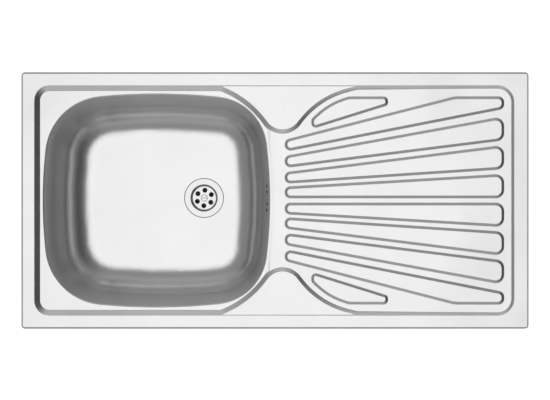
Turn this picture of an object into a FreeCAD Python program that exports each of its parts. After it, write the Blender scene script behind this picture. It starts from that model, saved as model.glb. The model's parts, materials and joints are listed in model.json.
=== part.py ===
"""Inset kitchen sink with one bowl and a drainboard, its waste, overflow and worktop clamps.

Millimetres. Z = 0 is the worktop surface, +Z up, +X from the bowl to the drainboard,
and the origin is in the middle of the rim's outline.
"""

import FreeCAD, Part
import Sketcher
import math
import os
import re

V = FreeCAD.Vector
UP = V(0, 0, 1)
ORIGIN = V(0, 0, 0)
SIDEWAYS = (V(0, 1, 0), 90)

doc = FreeCAD.newDocument("KitchenSink")
sheet = doc.addObject("Spreadsheet::Sheet", "Sizes")

SIZES = {
    # rim and sheet
    "sink_length": 860,
    "sink_width": 435,
    "rim_corner_radius": 6,
    "rim_top": 3.5,
    "sheet_gauge": 0.8,
    "lip_run": 3,
    "lip_edge": 0.3,
    "rim_edge_radius": 2,
    # stepped recess that holds the bowl ledge, the tap ledges and the drainboard
    "ledge_depth": 8,
    "rim_side": 31.1,
    "rim_left": 30.6,
    "rim_right": 33,
    "recess_left_radius": 17,
    "recess_right_radius": 20,
    "foot_radius": 2,
    "tap_ledge_drop": 1,
    "bowl_shoulder_shift": 52.6,
    "bowl_shoulder_rise": 10.1,
    "bowl_shoulder_radius": 159,
    "bowl_flare_angle": 66,
    "drain_shoulder_shift": 167,
    "drain_shoulder_radius": 138.3,
    "drain_flare_angle": 104,
    "tap_tip_radius": 39.4,
    # drainboard floor, which falls to the bowl
    "drain_depth_right": 4,
    "drain_depth_left": 7,
    "step_margin": 6,
    "step_shift": 10.1,
    "step_radius": 790,
    "step_run": 4,
    # bowl
    "bowl_ledge_left": 6.3,
    "bowl_ledge_side": 6.4,
    "bowl_half_length": 191.5,
    "bowl_side_radius": 780,
    "bowl_end_radius": 1000,
    "bowl_left_corner": 101,
    "bowl_right_corner": 90,
    "bowl_depth": 150,
    "bowl_draft": 7,
    "bowl_floor_radius": 54,
    "bowl_lip_radius": 3,
    # drainboard ribs: heights, sides and ends
    "rib_height": 2.4,
    "rib_side": 4.6,
    "rib_crest_radius": 1.6,
    "rib_foot_radius": 1.4,
    "rib_left_gap": 28.9,
    "rib_right_gap": 10.7,
    "rib_near_run": 10.8,
    "rib_far_run": 12.2,
    "rib_tip_radius": 7.6,
    "rib_end_radius": 12,
    "rib_outer_gap": 12.2,
    "rib_bend_radius": 40,
    # each rib's edges at the two stations, as shares of the half width open to the ribs there
    "first_inner_near": 0.05325,
    "first_inner_far": 0.03219,
    "first_outer_near": 0.19438,
    "first_outer_far": 0.22586,
    "second_inner_near": 0.27869,
    "second_inner_far": 0.29077,
    "second_outer_near": 0.41981,
    "second_outer_far": 0.48337,
    "third_inner_near": 0.52366,
    "third_inner_far": 0.54828,
    "third_outer_near": 0.67099,
    "third_outer_far": 0.74088,
    "fourth_inner_near": 0.77573,
    "fourth_inner_far": 0.82994,
    "fourth_outer_near": 0.92217,
    "fourth_outer_far": 1.02951,
    "leaf_left_shift": 45.2,
    "leaf_length": 125.5,
    "leaf_inner_left": 1.03223,
    "leaf_end_height": 11.1,
    "leaf_outer_left": 1.14274,
    "leaf_bend_run": 61.2,
    "leaf_bow_angle": 24.6,
    "leaf_bow_share": 1.67,
    "leaf_corner_radius": 5.4,
    "leaf_end_radius": 4.4,
    "leaf_bend_radius": 20,
    # waste
    "waste_shift": 72.4,
    "waste_y": 4.5,
    "waste_hole_radius": 26,
    "waste_recess_radius": 38,
    "waste_recess_depth": 3,
    "waste_recess_side": 1.5,
    "flange_radius": 35,
    "flange_gauge": 0.8,
    "flange_dish": 0.09,
    "cup_radius": 25.4,
    "plate_radius": 21.4,
    "plate_depth": 9.5,
    "strainer_hole_radius": 4.4,
    "strainer_hole_circle": 14.2,
    "upper_gasket": 1,
    "lower_gasket": 2.5,
    "waste_screw_radius": 3,
    "waste_screw_length": 27,
    "waste_head_radius": 6,
    "waste_head_height": 2.4,
    "waste_slot": 1.6,
    "waste_body_radius": 36,
    "waste_body_flange": 3,
    "waste_cup_radius": 25.5,
    "plastic_wall": 2.5,
    "waste_cup_depth": 34,
    "outlet_thread_radius": 23.9,
    "outlet_bore_radius": 20,
    "outlet_length": 24,
    "hub_radius": 8,
    "hub_height": 12,
    "hub_drop": 18,
    "rib_gauge": 3,
    "insert_flats": 10,
    "insert_height": 5,
    "insert_fit": 0.1,
    # overflow
    "overflow_y": 4.5,
    "overflow_drop": 39.5,
    "slot_width": 6,
    "slot_height": 18,
    "slot_inner_pitch": 20.8,
    "slot_outer_pitch": 41.8,
    "hopper_width": 64,
    "hopper_height": 34,
    "hopper_depth": 26,
    "hopper_flange": 3,
    "hopper_step": 3,
    "hopper_wall": 2.4,
    "hopper_post_radius": 5.8,
    "gasket_land": 6,
    "overflow_gasket": 3,
    "overflow_screw_radius": 2.5,
    "overflow_screw_head": 4.5,
    "overflow_screw_length": 18,
    "overflow_insert_length": 8,
    "insert_radius": 3.8,
    "screw_slot": 1,
    "pipe_radius": 10,
    "pipe_wall": 1.8,
    "pipe_bend_radius": 28,
    "pipe_shift": 14.1,
    "spigot_radius": 12.8,
    "spigot_length": 18,
    "spigot_drop": 30,
    "spigot_fit": 0.25,
    "socket_depth": 13,
    "branch_reach": 52,
    "branch_drop": 17,
    "union_radius": 17,
    "union_length": 14,
    "union_cap": 3,
    "washer_height": 4,
    # seal, pad and earth tag
    "seal_width": 5,
    "seal_inset": 4.5,
    "pad_length": 110,
    "pad_width": 150,
    "pad_gauge": 2,
    "pad_corner": 12,
    "pad_shift": -38.4,
    "tag_y": -120,
    "tag_gap": 4,
    "tag_width": 14,
    "tag_foot": 9,
    "tag_drop": 20,
    "tag_gauge": 1.5,
    "tag_hole_radius": 2.6,
    # worktop clamps
    "clamp_left_run": 130,
    "clamp_middle_run": -39.9,
    "clamp_right_run": 160,
    "clamp_side_gap": 5.4,
    "clamp_left_gap": 4.9,
    "clamp_right_gap": 7.3,
    "bracket_width": 8,
    "bracket_gauge": 1.5,
    "bracket_half_span": 9,
    "bracket_foot": 8,
    "bracket_drop": 6.7,
    "rivet_radius": 2.5,
    "rivet_head_radius": 4,
    "rivet_head": 1.6,
    "pivot_fit": 0.05,
    "thread_fit": 0.08,
    "play": 0.3,
    "guide_half_width": 6.2,
    "guide_reach": 3.5,
    "guide_gauge": 1.0,
    "nut_height": 4,
    "nut_drop": 23,
    "clamp_screw_radius": 2.5,
    "clamp_screw_head": 4.6,
    "clamp_screw_head_height": 3.5,
    "screw_collar_radius": 3.6,
    "screw_collar_height": 1.2,
    "clamp_lift": 18,
    "claw_gauge": 2.5,
    "claw_reach": 27,
    "claw_half_width": 6.5,
    "claw_side_play": 0.3,
    "claw_tooth_top": 44,
    "claw_tooth_depth": 2.5,
}
for row, (alias, number) in enumerate(SIZES.items(), start=1):
    sheet.set(f"A{row}", alias)
    sheet.set(f"B{row}", str(number))
    sheet.setAlias(f"B{row}", alias)
doc.recompute()


# ---------------------------------------------------------------- the sheet's values


def bound(words):
    """An expression in plain size names, as the document reads it."""
    return re.sub(r"[a-z][a-z_]*[a-z]", lambda m: "Sizes." + m[0] if m[0] in SIZES else m[0], words)


def value(words):
    """What such an expression is worth now."""
    return float(sheet.evalExpression(bound(words)))


def bind(made, **sizes):
    for name, words in sizes.items():
        made.setExpression(name, bound(str(words)))
    return made


def place(made, x="0", y="0", z="0", turn=None):
    """Puts an object at bound coordinates, turned by (axis, degrees)."""
    if turn:
        made.Placement = FreeCAD.Placement(ORIGIN, FreeCAD.Rotation(*turn))
    for axis, words in zip("xyz", (x, y, z)):
        made.setExpression(f"Placement.Base.{axis}", bound(str(words)))
    return made


# places that follow from the sizes
RECESS_LEFT = "(sink_length/2-rim_left)"
RECESS_RIGHT = "(sink_length/2-rim_right)"
RECESS_SIDE = "(sink_width/2-rim_side)"
BOWL_X = f"(bowl_ledge_left+bowl_half_length-{RECESS_LEFT})"
BOWL_RIGHT = f"({BOWL_X}+bowl_half_length)"
BOWL_SIDE = f"({RECESS_SIDE}-bowl_ledge_side)"
RIB_LEFT = f"({BOWL_RIGHT}+rib_left_gap)"
RIB_RIGHT = f"({RECESS_RIGHT}-rib_right_gap)"
RIB_LIMIT = f"({RECESS_SIDE}-rib_outer_gap)"
WASTE_X = f"({BOWL_X}+waste_shift)"
PIPE_X = f"({BOWL_RIGHT}+pipe_shift)"


# ---------------------------------------------------------------- document objects


def box(name, length, width, height, x, y, z):
    made = doc.addObject("Part::Box", name)
    bind(made, Length=length, Width=width, Height=height)
    return place(made, x, y, z)


def rod(name, radius, height, x="0", y="0", z="0", turn=None):
    made = doc.addObject("Part::Cylinder", name)
    bind(made, Radius=radius, Height=height)
    return place(made, x, y, z, turn)


def hexagon(name, flats, height, x="0", y="0", z="0"):
    made = doc.addObject("Part::Prism", name)
    made.Polygon = 6
    bind(made, Circumradius=f"({flats})/sqrt(3)", Height=height)
    return place(made, x, y, z)


def fuse(name, parts):
    made = doc.addObject("Part::MultiFuse", name)
    made.Shapes = parts
    made.Refine = True
    return made


def cut(name, base, tools):
    made = doc.addObject("Part::Cut", name)
    made.Base = base
    made.Tool = tools[0] if len(tools) == 1 else fuse(name + "Tools", tools)
    made.Refine = True
    return made


def plane_of(body, role):
    return next(o for o in body.Origin.OriginFeatures if o.Role == role)


def closed_sketch(body, role, corners):
    """A closed sketch whose corners are bound to pairs of expressions."""
    sketch = body.newObject("Sketcher::SketchObject", body.Name + "Outline")
    sketch.AttachmentSupport = [(plane_of(body, role), "")]
    sketch.MapMode = "FlatFace"
    points = [V(value(a), value(b), 0) for a, b in corners]
    count = len(points)
    for i in range(count):
        sketch.addGeometry(Part.LineSegment(points[i], points[(i + 1) % count]))
    for i in range(count):
        sketch.addConstraint(Sketcher.Constraint("Coincident", i, 2, (i + 1) % count, 1))
    for i, corner in enumerate(corners):
        for kind, at, words in zip(("DistanceX", "DistanceY"), points[i], corner):
            number = sketch.addConstraint(Sketcher.Constraint(kind, -1, 1, i, 1, at))
            sketch.setExpression(f"Constraints[{number}]", bound(words))
    return sketch


def turned(name, corners, x="0", y="0"):
    """A piece turned about a vertical axis, from (radius, height) corners."""
    body = doc.addObject("PartDesign::Body", name)
    sketch = closed_sketch(body, "XZ_Plane", corners)
    made = body.newObject("PartDesign::Revolution", name + "Turned")
    made.Profile = sketch
    made.ReferenceAxis = (sketch, ["V_Axis"])
    made.Angle = 360
    return place(body, x, y)


def profiled(name, corners, width, role="XZ_Plane"):
    """A piece of one profile, padded to both sides of an origin plane."""
    body = doc.addObject("PartDesign::Body", name)
    sketch = closed_sketch(body, role, corners)
    made = body.newObject("PartDesign::Pad", name + "Pad")
    made.Profile = sketch
    made.Midplane = True
    bind(made, Length=width)
    return body


SUB_PARTS = []


def sub_part(made, label):
    """Marks an object as a finished piece, and names its file."""
    made.Label = label
    SUB_PARTS.append(made)
    return made


def plain(label, shape):
    """A piece whose shape comes from Part's own functions."""
    made = doc.addObject("Part::Feature", label.title().replace("_", ""))
    made.Shape = shape
    return sub_part(made, label)


# ---------------------------------------------------------------- outlines in plan


def point(centre, radius, angle):
    return V(centre[0] + radius * math.cos(angle), centre[1] + radius * math.sin(angle), 0)


def arc(centre, radius, start, end):
    middle = (start + end) / 2
    return Part.Arc(*(point(centre, radius, a) for a in (start, middle, end))).toShape()


def line(start, end):
    return Part.LineSegment(V(*start), V(*end)).toShape()


def heading(start, end):
    return math.atan2(end[1] - start[1], end[0] - start[0])


def crossing(first, first_radius, second, second_radius, side=1):
    """Where two circles cross, on the left (side 1) or right of first to second."""
    across, along = second[0] - first[0], second[1] - first[1]
    gap = math.hypot(across, along)
    foot = (first_radius**2 - second_radius**2 + gap**2) / (2 * gap)
    rise = side * math.sqrt(first_radius**2 - foot**2)
    return (
        first[0] + (foot * across - rise * along) / gap,
        first[1] + (foot * along + rise * across) / gap,
    )


def joined(edges, height):
    wire = Part.Wire(Part.sortEdges(edges)[0])
    wire.translate(UP * height)
    return wire


def reflected(edges):
    return [edge.mirror(ORIGIN, V(0, 1, 0)) for edge in edges]


def shoulders(grown):
    """The (centre, radius) of the round shoulders of bowl and drainboard, and of a tap ledge's tip."""
    side = value(RECESS_SIDE) + grown
    bowl_r = value("bowl_shoulder_radius") + grown
    drain_r = value("drain_shoulder_radius") + grown
    tip_r = value("tap_tip_radius") - grown
    bowl_c = (value(f"{BOWL_X}+bowl_shoulder_shift"), side + value("bowl_shoulder_rise") - bowl_r)
    drain_c = (value(f"{BOWL_RIGHT}+drain_shoulder_shift"), side - drain_r)
    tip_c = crossing(bowl_c, bowl_r + tip_r, drain_c, drain_r + tip_r)
    return (bowl_c, bowl_r), (drain_c, drain_r), (tip_c, tip_r)


def recess_outline(grown, height):
    """The stepped recess in plan, grown sideways, with its two tap ledges left standing."""
    side = value(RECESS_SIDE) + grown
    left, right = -value(RECESS_LEFT) - grown, value(RECESS_RIGHT) + grown
    left_round = value("recess_left_radius") + grown
    right_round = value("recess_right_radius") + grown
    (bowl_c, bowl_r), (drain_c, drain_r), (tip_c, tip_r) = shoulders(grown)
    from_bowl, from_drain = heading(bowl_c, tip_c), heading(drain_c, tip_c)
    flares = []
    for centre, radius, words in ((bowl_c, bowl_r, "bowl"), (drain_c, drain_r, "drain")):
        angle = math.radians(value(words + "_flare_angle"))
        run = (radius - (side - centre[1]) * math.sin(angle)) / math.cos(angle)
        flares.append((angle, point(centre, radius, angle), centre[0] + run))
    (bowl_a, bowl_end, bowl_x), (drain_a, drain_end, drain_x) = flares
    half = [
        arc((left + left_round, side - left_round), left_round, math.pi, math.pi / 2),
        line((left + left_round, side, 0), (bowl_x, side, 0)),
        line((bowl_x, side, 0), bowl_end),
        arc(bowl_c, bowl_r, bowl_a, from_bowl),
        arc(tip_c, tip_r, from_bowl + math.pi, from_drain + math.pi),
        arc(drain_c, drain_r, from_drain, drain_a),
        line(drain_end, (drain_x, side, 0)),
        line((drain_x, side, 0), (right - right_round, side, 0)),
        arc((right - right_round, side - right_round), right_round, math.pi / 2, 0),
    ]
    ends = [
        line((right, side - right_round, 0), (right, right_round - side, 0)),
        line((left, left_round - side, 0), (left, side - left_round, 0)),
    ]
    return joined(half + reflected(half) + ends, height)


def bowl_outline(grown, height):
    """The bowl in plan, grown sideways: four bowed sides and four round corners."""
    middle = value(BOWL_X)
    long_r, end_r = value("bowl_side_radius"), value("bowl_end_radius")
    side_c = (value("bowl_half_length") - long_r, 0)
    end_c = (0, value(BOWL_SIDE) - end_r)
    arcs = []
    for words, sign in (("bowl_right_corner", 1), ("bowl_left_corner", -1)):
        radius = value(words)
        corner = crossing(side_c, long_r - radius, end_c, end_r - radius, -1)
        if corner[0] < 0 or corner[1] < 0:
            corner = crossing(side_c, long_r - radius, end_c, end_r - radius, 1)
        low, high = heading(side_c, corner), heading(end_c, corner)
        arcs.append((sign, radius, corner, low, high))

    def laid(sign, centre, radius, start, end):
        centre = (middle + sign * centre[0], centre[1])
        if sign < 0:
            start, end = math.pi - start, math.pi - end
        return arc(centre, radius + grown, start, end)

    corners = [laid(s, c, r, low, high) for s, r, c, low, high in arcs]
    sides = [laid(s, side_c, long_r, -low, low) for s, r, c, low, high in arcs]
    top = arc((middle, end_c[1]), end_r + grown, arcs[0][4], math.pi - arcs[1][4])
    upper = corners + [top]
    return joined(upper + reflected(upper) + sides, height)


def rounded(corners, height):
    """A closed outline through (x, y, radius) corners, each rounded by its arc."""
    bends = []
    count = len(corners)
    for i, (x, y, radius) in enumerate(corners):
        here = V(x, y, 0)
        back = (V(*corners[i - 1][:2], 0) - here).normalize()
        ahead = (V(*corners[(i + 1) % count][:2], 0) - here).normalize()
        half = back.getAngle(ahead) / 2
        reach = radius / math.tan(half)
        middle = (back + ahead).normalize()
        crown = here + middle * (radius / math.sin(half) - radius)
        bends.append((here + back * reach, crown, here + ahead * reach))
    edges = []
    for i, (start, crown, end) in enumerate(bends):
        edges.append(Part.Arc(start, crown, end).toShape())
        edges.append(Part.LineSegment(end, bends[(i + 1) % count][0]).toShape())
    return joined(edges, height)


def meeting(first, second):
    """Where two lines meet, each given by a point, a slope angle and a shift to its left."""
    rows = []
    for (x, y), angle, shift in (first, second):
        across, up = -math.sin(angle), math.cos(angle)
        rows.append((across, up, across * x + up * y + shift))
    (a, b, c), (d, e, f) = rows
    scale = a * e - b * d
    return ((c * e - b * f) / scale, (a * f - c * d) / scale)


RIBS = ("first", "second", "third", "fourth")
RIB_NEAR = value(f"{RIB_LEFT}+rib_near_run")
RIB_FAR = value(f"{RIB_RIGHT}-rib_far_run")


def spread(x):
    """The half width open to the ribs: as far as the tap ledges near the bowl, and the sides far off."""
    tip_c, tip_r = shoulders(0)[2]
    near, far = tip_c[1] - tip_r, value(RECESS_SIDE)
    return near + (far - near) * (x - RIB_NEAR) / (RIB_FAR - RIB_NEAR)


def rib_outline(rib, grown, height):
    """One long rib, narrow towards the bowl. The fourth is cut off by a line along the rim."""
    edges = {}
    for edge in ("inner", "outer"):
        start = (RIB_NEAR, spread(RIB_NEAR) * value(f"{rib}_{edge}_near"))
        end = (RIB_FAR, spread(RIB_FAR) * value(f"{rib}_{edge}_far"))
        edges[edge] = (start, heading(start, end), grown if edge == "outer" else -grown)
    left = ((value(RIB_LEFT), 0), math.pi / 2, grown)
    right = ((value(RIB_RIGHT), 0), math.pi / 2, -grown)
    limit = ((0, value(RIB_LIMIT)), 0, grown)
    low_left, high_left = meeting(edges["inner"], left), meeting(edges["outer"], left)
    tip = min(value("rib_tip_radius") + grown, 0.48 * (high_left[1] - low_left[1]))
    low_right, high_right = meeting(edges["inner"], right), meeting(edges["outer"], right)
    end = value("rib_end_radius") + grown
    corners = [(*low_left, tip)]
    if high_right[1] < meeting(limit, right)[1]:
        corners += [(*low_right, end), (*high_right, end)]
    else:
        high_right = meeting(limit, right)
        end = min(end, 0.46 * (high_right[1] - low_right[1]))
        bend = meeting(edges["outer"], limit)
        corners += [(*low_right, end), (*high_right, end)]
        corners += [(*bend, value("rib_bend_radius"))]
    corners += [(*high_left, tip)]
    return rounded(corners, height)


def leaf_outline(grown, height):
    """The short leaf-shaped rib beside a tap ledge, with its bowed outer edge."""
    left = value(f"{RIB_LEFT}+leaf_left_shift")
    right = left + value("leaf_length")
    low = (left, spread(left) * value("leaf_inner_left"))
    tail = (right, value(f"{RIB_LIMIT}-leaf_end_height"))
    bow = math.radians(value("leaf_bow_angle/2"))
    inner = (low, heading(low, tail), -grown)
    start = (left, spread(left) * value("leaf_outer_left"))
    bend = (left + value("leaf_bend_run"), value(RIB_LIMIT))
    belly = math.dist(start, bend) * value("leaf_bow_share")
    near = (start, heading(start, bend) + bow, grown)
    far = (bend, heading(start, bend) - bow, grown)
    limit = ((0, value(RIB_LIMIT)), 0, grown)
    left_side = ((left, 0), math.pi / 2, grown)
    right_side = ((right, 0), math.pi / 2, -grown)
    corner = value("leaf_corner_radius") + grown
    end = value("leaf_end_radius") + grown
    corners = [
        (*meeting(inner, left_side), corner),
        (*meeting(inner, right_side), end),
        (*meeting(limit, right_side), corner),
        (*meeting(far, limit), value("leaf_bend_radius")),
        (*meeting(near, far), belly + grown),
        (*meeting(near, left_side), corner),
    ]
    return rounded(corners, height)


# ---------------------------------------------------------------- the pressed sheet

RIM_TOP = value("rim_top")
LEDGE = value("rim_top-ledge_depth")
TAP_LEDGE = value("rim_top-tap_ledge_drop")
BOWL_FLOOR = value("rim_top-bowl_depth")
DRAIN_LEFT_X = value(f"{BOWL_RIGHT}+step_shift")
DRAIN_RUN = value(f"{RECESS_RIGHT}+ledge_depth-drain_depth_right") - DRAIN_LEFT_X
DRAIN_SLOPE = value("drain_depth_left-drain_depth_right") / DRAIN_RUN
DRAIN_ZERO = value("rim_top-drain_depth_left") - DRAIN_SLOPE * DRAIN_LEFT_X
DRAFT = math.radians(value("bowl_draft"))
CLEAR = 10
TOLERANCE = 1e-4


def drain_floor(x):
    """Height of the drainboard's floor, which falls towards the bowl."""
    return DRAIN_ZERO + DRAIN_SLOPE * x


def block(x, y, low, high):
    """A solid block centred on the origin in plan."""
    return Part.makeBox(2 * x, 2 * y, high - low, V(-x, -y, low))


def lofted(lower, upper):
    return Part.makeLoft([lower, upper], True, True)


def along_y(corners, start, length):
    """A prism along Y from (x, z) corners."""
    wire = Part.makePolygon([V(x, start, z) for x, z in corners + corners[:1]])
    return Part.Face(wire).extrude(V(0, length, 0))


def along_x(corners, start, length):
    """A prism along X from (y, z) corners."""
    wire = Part.makePolygon([V(start, y, z) for y, z in corners + corners[:1]])
    return Part.Face(wire).extrude(V(length, 0, 0))


def tilted_floor(skin):
    """The drainboard's floor as a solid, ending at the bowl in a soft bowed step."""
    edge = value(f"{BOWL_RIGHT}+step_margin")
    far, wide = value("sink_length/2"), value("sink_width/2")
    foot = LEDGE - skin
    slope = value("step_run")
    radius = value("step_radius") + skin * math.tan(math.atan2(1, slope) / 2)
    near = value(BOWL_X)
    corners = [(near, foot - 1), (far, foot - 1)]
    corners += [(x, drain_floor(x) - skin) for x in (far, near)]
    step = Part.makeCone(radius - slope, radius + slope * CLEAR, 1 + CLEAR)
    step.translate(V(edge - value("step_radius"), 0, foot - 1))
    return along_y(corners, -wide, 2 * wide).cut(step)


def tap_recesses(skin, grown):
    """The shallow recess that sets the tap ledges below the rim."""
    low, high = TAP_LEDGE - skin, RIM_TOP + CLEAR
    side = value(RECESS_SIDE) + grown
    inner, outer = side / 3, side + skin - LEDGE
    start = value(f"{BOWL_X}+bowl_shoulder_shift+bowl_shoulder_radius/3")
    end = value(f"{BOWL_RIGHT}+drain_shoulder_shift+recess_right_radius")
    profile = [(inner, low), (outer + low, low), (outer + high, high), (inner, high)]
    return [along_x([(sign * y, z) for y, z in profile], start, end - start) for sign in (1, -1)]


def rib_solids(skin):
    """Every rib of the drainboard, with rounded crests, tilted with the floor."""
    half = value("rib_side/2")
    height = value("rib_height")
    thinner = skin * math.tan(math.atan2(height, 2 * half) / 2)
    crest = value("rib_crest_radius") - skin
    outlines = [lambda grown, z, rib=rib: rib_outline(rib, grown, z) for rib in RIBS] + [leaf_outline]
    made = []
    for outline in outlines:
        rib = lofted(outline(half - thinner, 0), outline(-half - thinner, height))
        crests = [edge for edge in rib.Edges if edge.BoundBox.ZMin > height - TOLERANCE]
        rib = rib.makeFillet(crest, crests)
        root = Part.Face(outline(half - thinner, 0)).extrude(UP * -2)
        rib = rib.fuse(root)
        made += [rib, rib.mirror(ORIGIN, V(0, 1, 0))]
    for rib in made:
        rib.rotate(ORIGIN, V(0, 1, 0), -math.degrees(math.atan(DRAIN_SLOPE)))
        rib.translate(UP * (DRAIN_ZERO - skin))
    return made


def bowl_cutter(skin):
    """The space inside the bowl, with its drafted walls and round floor edge."""
    lean = math.tan(DRAFT)
    grown = skin / math.cos(DRAFT)
    floor, top = BOWL_FLOOR - skin, RIM_TOP + 2
    lower = bowl_outline(grown - (LEDGE - floor) * lean, floor)
    upper = bowl_outline(grown + (top - LEDGE) * lean, top)
    space = lofted(lower, upper)
    corners = [edge for edge in space.Edges if edge.BoundBox.ZMax < floor + TOLERANCE]
    return space.makeFillet(value("bowl_floor_radius") + skin, corners)


def waste_cutter(skin):
    """The shallow seat pressed into the bowl's floor for the waste flange."""
    upper = value("waste_recess_radius") + skin * math.tan(math.pi / 8)
    depth, side = value("waste_recess_depth"), value("waste_recess_side")
    seat = Part.makeCone(upper - side, upper, depth)
    seat.translate(V(value(WASTE_X), value("waste_y"), BOWL_FLOOR - skin - depth))
    return seat


def level(edge, height):
    return abs(edge.BoundBox.ZMin - height) < TOLERANCE and abs(edge.BoundBox.ZMax - height) < TOLERANCE


def middle_of(edge):
    return edge.valueAt((edge.FirstParameter + edge.LastParameter) / 2)


def on_floor(edge, skin):
    """Does an edge lie in the drainboard's floor?"""
    ends = (edge.valueAt(edge.FirstParameter), middle_of(edge), edge.valueAt(edge.LastParameter))
    return all(abs(p.z - drain_floor(p.x) + skin) < 0.01 and p.x > value(BOWL_X) for p in ends)


def in_plan(edge, outline, reach):
    """Is the middle of an edge within reach of an outline in plan?"""
    at = middle_of(edge)
    return Part.Vertex(V(at.x, at.y, 0)).distToShape(outline)[0] < reach


def rounded_edges(solid, radius, chosen):
    return solid.makeFillet(radius, [edge for edge in solid.Edges if chosen(edge)])


def pressed_form(skin):
    """Everything below the sheet's upper face (skin 0), or below its lower face."""
    grown = skin * (math.sqrt(2) - 1)
    length, width = value("sink_length/2"), value("sink_width/2")
    deep = BOWL_FLOOR - 3 * CLEAR
    run = value("lip_run")
    edge = skin * math.sqrt(2)
    high = RIM_TOP - skin
    top = Part.makeBox(2 * length, 2 * width, high - deep, V(-length, -width, deep))
    uprights = [e for e in top.Edges if e.BoundBox.ZLength > CLEAR]
    top = top.makeFillet(value("rim_corner_radius"), uprights)
    bevel = run + edge - skin
    rims = [e for e in top.Edges if level(e, high)]
    top = top.makeChamfer(bevel, rims)
    if skin:
        top = top.fuse(block(length + CLEAR, width + CLEAR, deep - CLEAR, value("lip_edge")))
    low, above = LEDGE - skin, RIM_TOP + CLEAR
    air = lofted(recess_outline(grown, low), recess_outline(grown + above - low, above))
    air = air.fuse(tap_recesses(skin, grown)).cut(tilted_floor(skin))
    form = top.cut(air).fuse(rib_solids(skin)).removeSplitter()
    form = form.cut(bowl_cutter(skin).fuse(waste_cutter(skin)))
    form = form.Solids[0] if form.Solids else form

    flat = recess_outline(0, 0)
    opening = bowl_outline(0, 0)
    inside = value("rim_corner_radius+lip_run")
    foot = value("foot_radius") + skin

    def is_rim(e):
        at = middle_of(e)
        return level(e, high) and abs(at.x) < length - inside and abs(at.y) < width - inside

    def is_tap(e):
        return level(e, TAP_LEDGE - skin) and abs(middle_of(e).y) < value(RECESS_SIDE)

    def is_lip(e):
        return level(e, low) and in_plan(e, opening, 2)

    def is_ledge_foot(e):
        return level(e, low) and not in_plan(e, opening, 2) and in_plan(e, flat, 2)

    def is_floor_foot(e):
        return on_floor(e, skin) and not level(e, low) and in_plan(e, flat, CLEAR / 2)

    def is_rib_foot(e):
        ahead = middle_of(e).x > value(f"{RIB_LEFT}-rib_side")
        return on_floor(e, skin) and ahead and not in_plan(e, flat, CLEAR / 2)

    def is_seat_rim(e):
        return level(e, BOWL_FLOOR - skin) and e.Length > value("waste_recess_radius*4")

    form = rounded_edges(form, value("rim_edge_radius") - skin, is_rim)
    form = rounded_edges(form, value("rim_edge_radius") - skin, is_tap)
    form = rounded_edges(form, value("bowl_lip_radius") - skin, is_lip)
    form = rounded_edges(form, value("rib_foot_radius") + skin, is_rib_foot)
    form = rounded_edges(form, foot, is_floor_foot)
    form = rounded_edges(form, foot, is_ledge_foot)
    return rounded_edges(form, value("rim_edge_radius") - skin, is_seat_rim)


def wall_place(z, skin=0):
    """The X of the bowl's right wall at the overflow, at height z."""
    side = value(BOWL_RIGHT) - (LEDGE - z) * math.tan(DRAFT)
    bow = value("overflow_y") ** 2 / (2 * value("bowl_side_radius"))
    return side - bow + skin / math.cos(DRAFT)


OVERFLOW_Z = value("rim_top-overflow_drop")
SKIN = value("sheet_gauge")
# local x runs out of the bowl, square to its wall
WALL_FRAME = FreeCAD.Placement(
    V(wall_place(OVERFLOW_Z, SKIN), value("overflow_y"), OVERFLOW_Z),
    FreeCAD.Rotation(V(0, 1, 0), value("bowl_draft")),
)


def at_wall(shape):
    made = shape.copy()
    made.Placement = WALL_FRAME.multiply(made.Placement)
    return made


def slot(y, through):
    """An upright slot through the bowl's wall, in the wall's frame."""
    half = value("slot_width/2")
    straight = value("slot_height-slot_width")
    bar = Part.makeBox(2 * through, 2 * half, straight, V(-through, y - half, -straight / 2))
    ends = [
        Part.makeCylinder(half, 2 * through, V(-through, y, end * straight / 2), V(1, 0, 0))
        for end in (1, -1)
    ]
    return bar.fuse(ends)


def bowl_and_drainboard():
    """The whole pressed sheet, with its waste hole and its overflow slots."""
    sheet_metal = pressed_form(0).cut(pressed_form(SKIN))
    holes = []
    for pitch in ("slot_inner_pitch", "slot_outer_pitch"):
        holes += [at_wall(slot(sign * value(pitch) / 2, CLEAR / 2)) for sign in (1, -1)]
    radius = value("overflow_screw_radius+play")
    holes.append(at_wall(Part.makeCylinder(radius, CLEAR, V(-CLEAR / 2, 0, 0), V(1, 0, 0))))
    drain = Part.makeCylinder(value("waste_hole_radius"), 4 * CLEAR)
    drain.translate(V(value(WASTE_X), value("waste_y"), BOWL_FLOOR - 2 * CLEAR))
    holes.append(drain)
    return sheet_metal.cut(holes)


plain("bowl_and_drainboard", bowl_and_drainboard().Solids[0])


# ---------------------------------------------------------------- seal, pad and earth tag

SHEET_UNDER = "(rim_top-sheet_gauge)"
FLOOR_UNDER = "(rim_top-bowl_depth-sheet_gauge)"


def centred_box(name, length, width, height, z, x="0", y="0"):
    return box(name, length, width, height, f"{x}-({length})/2", f"{y}-({width})/2", z)


def rim_seal():
    """The foam strip under the rim's edge."""
    outer_x, outer_y = "(sink_length-2*seal_inset)", "(sink_width-2*seal_inset)"
    inner_x, inner_y = f"{outer_x}-2*seal_width", f"{outer_y}-2*seal_width"
    outer = centred_box("SealOuter", outer_x, outer_y, SHEET_UNDER, "0")
    inner = centred_box("SealInner", inner_x, inner_y, f"{SHEET_UNDER}+2", "-1")
    return cut("RimSeal", outer, [inner])


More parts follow.
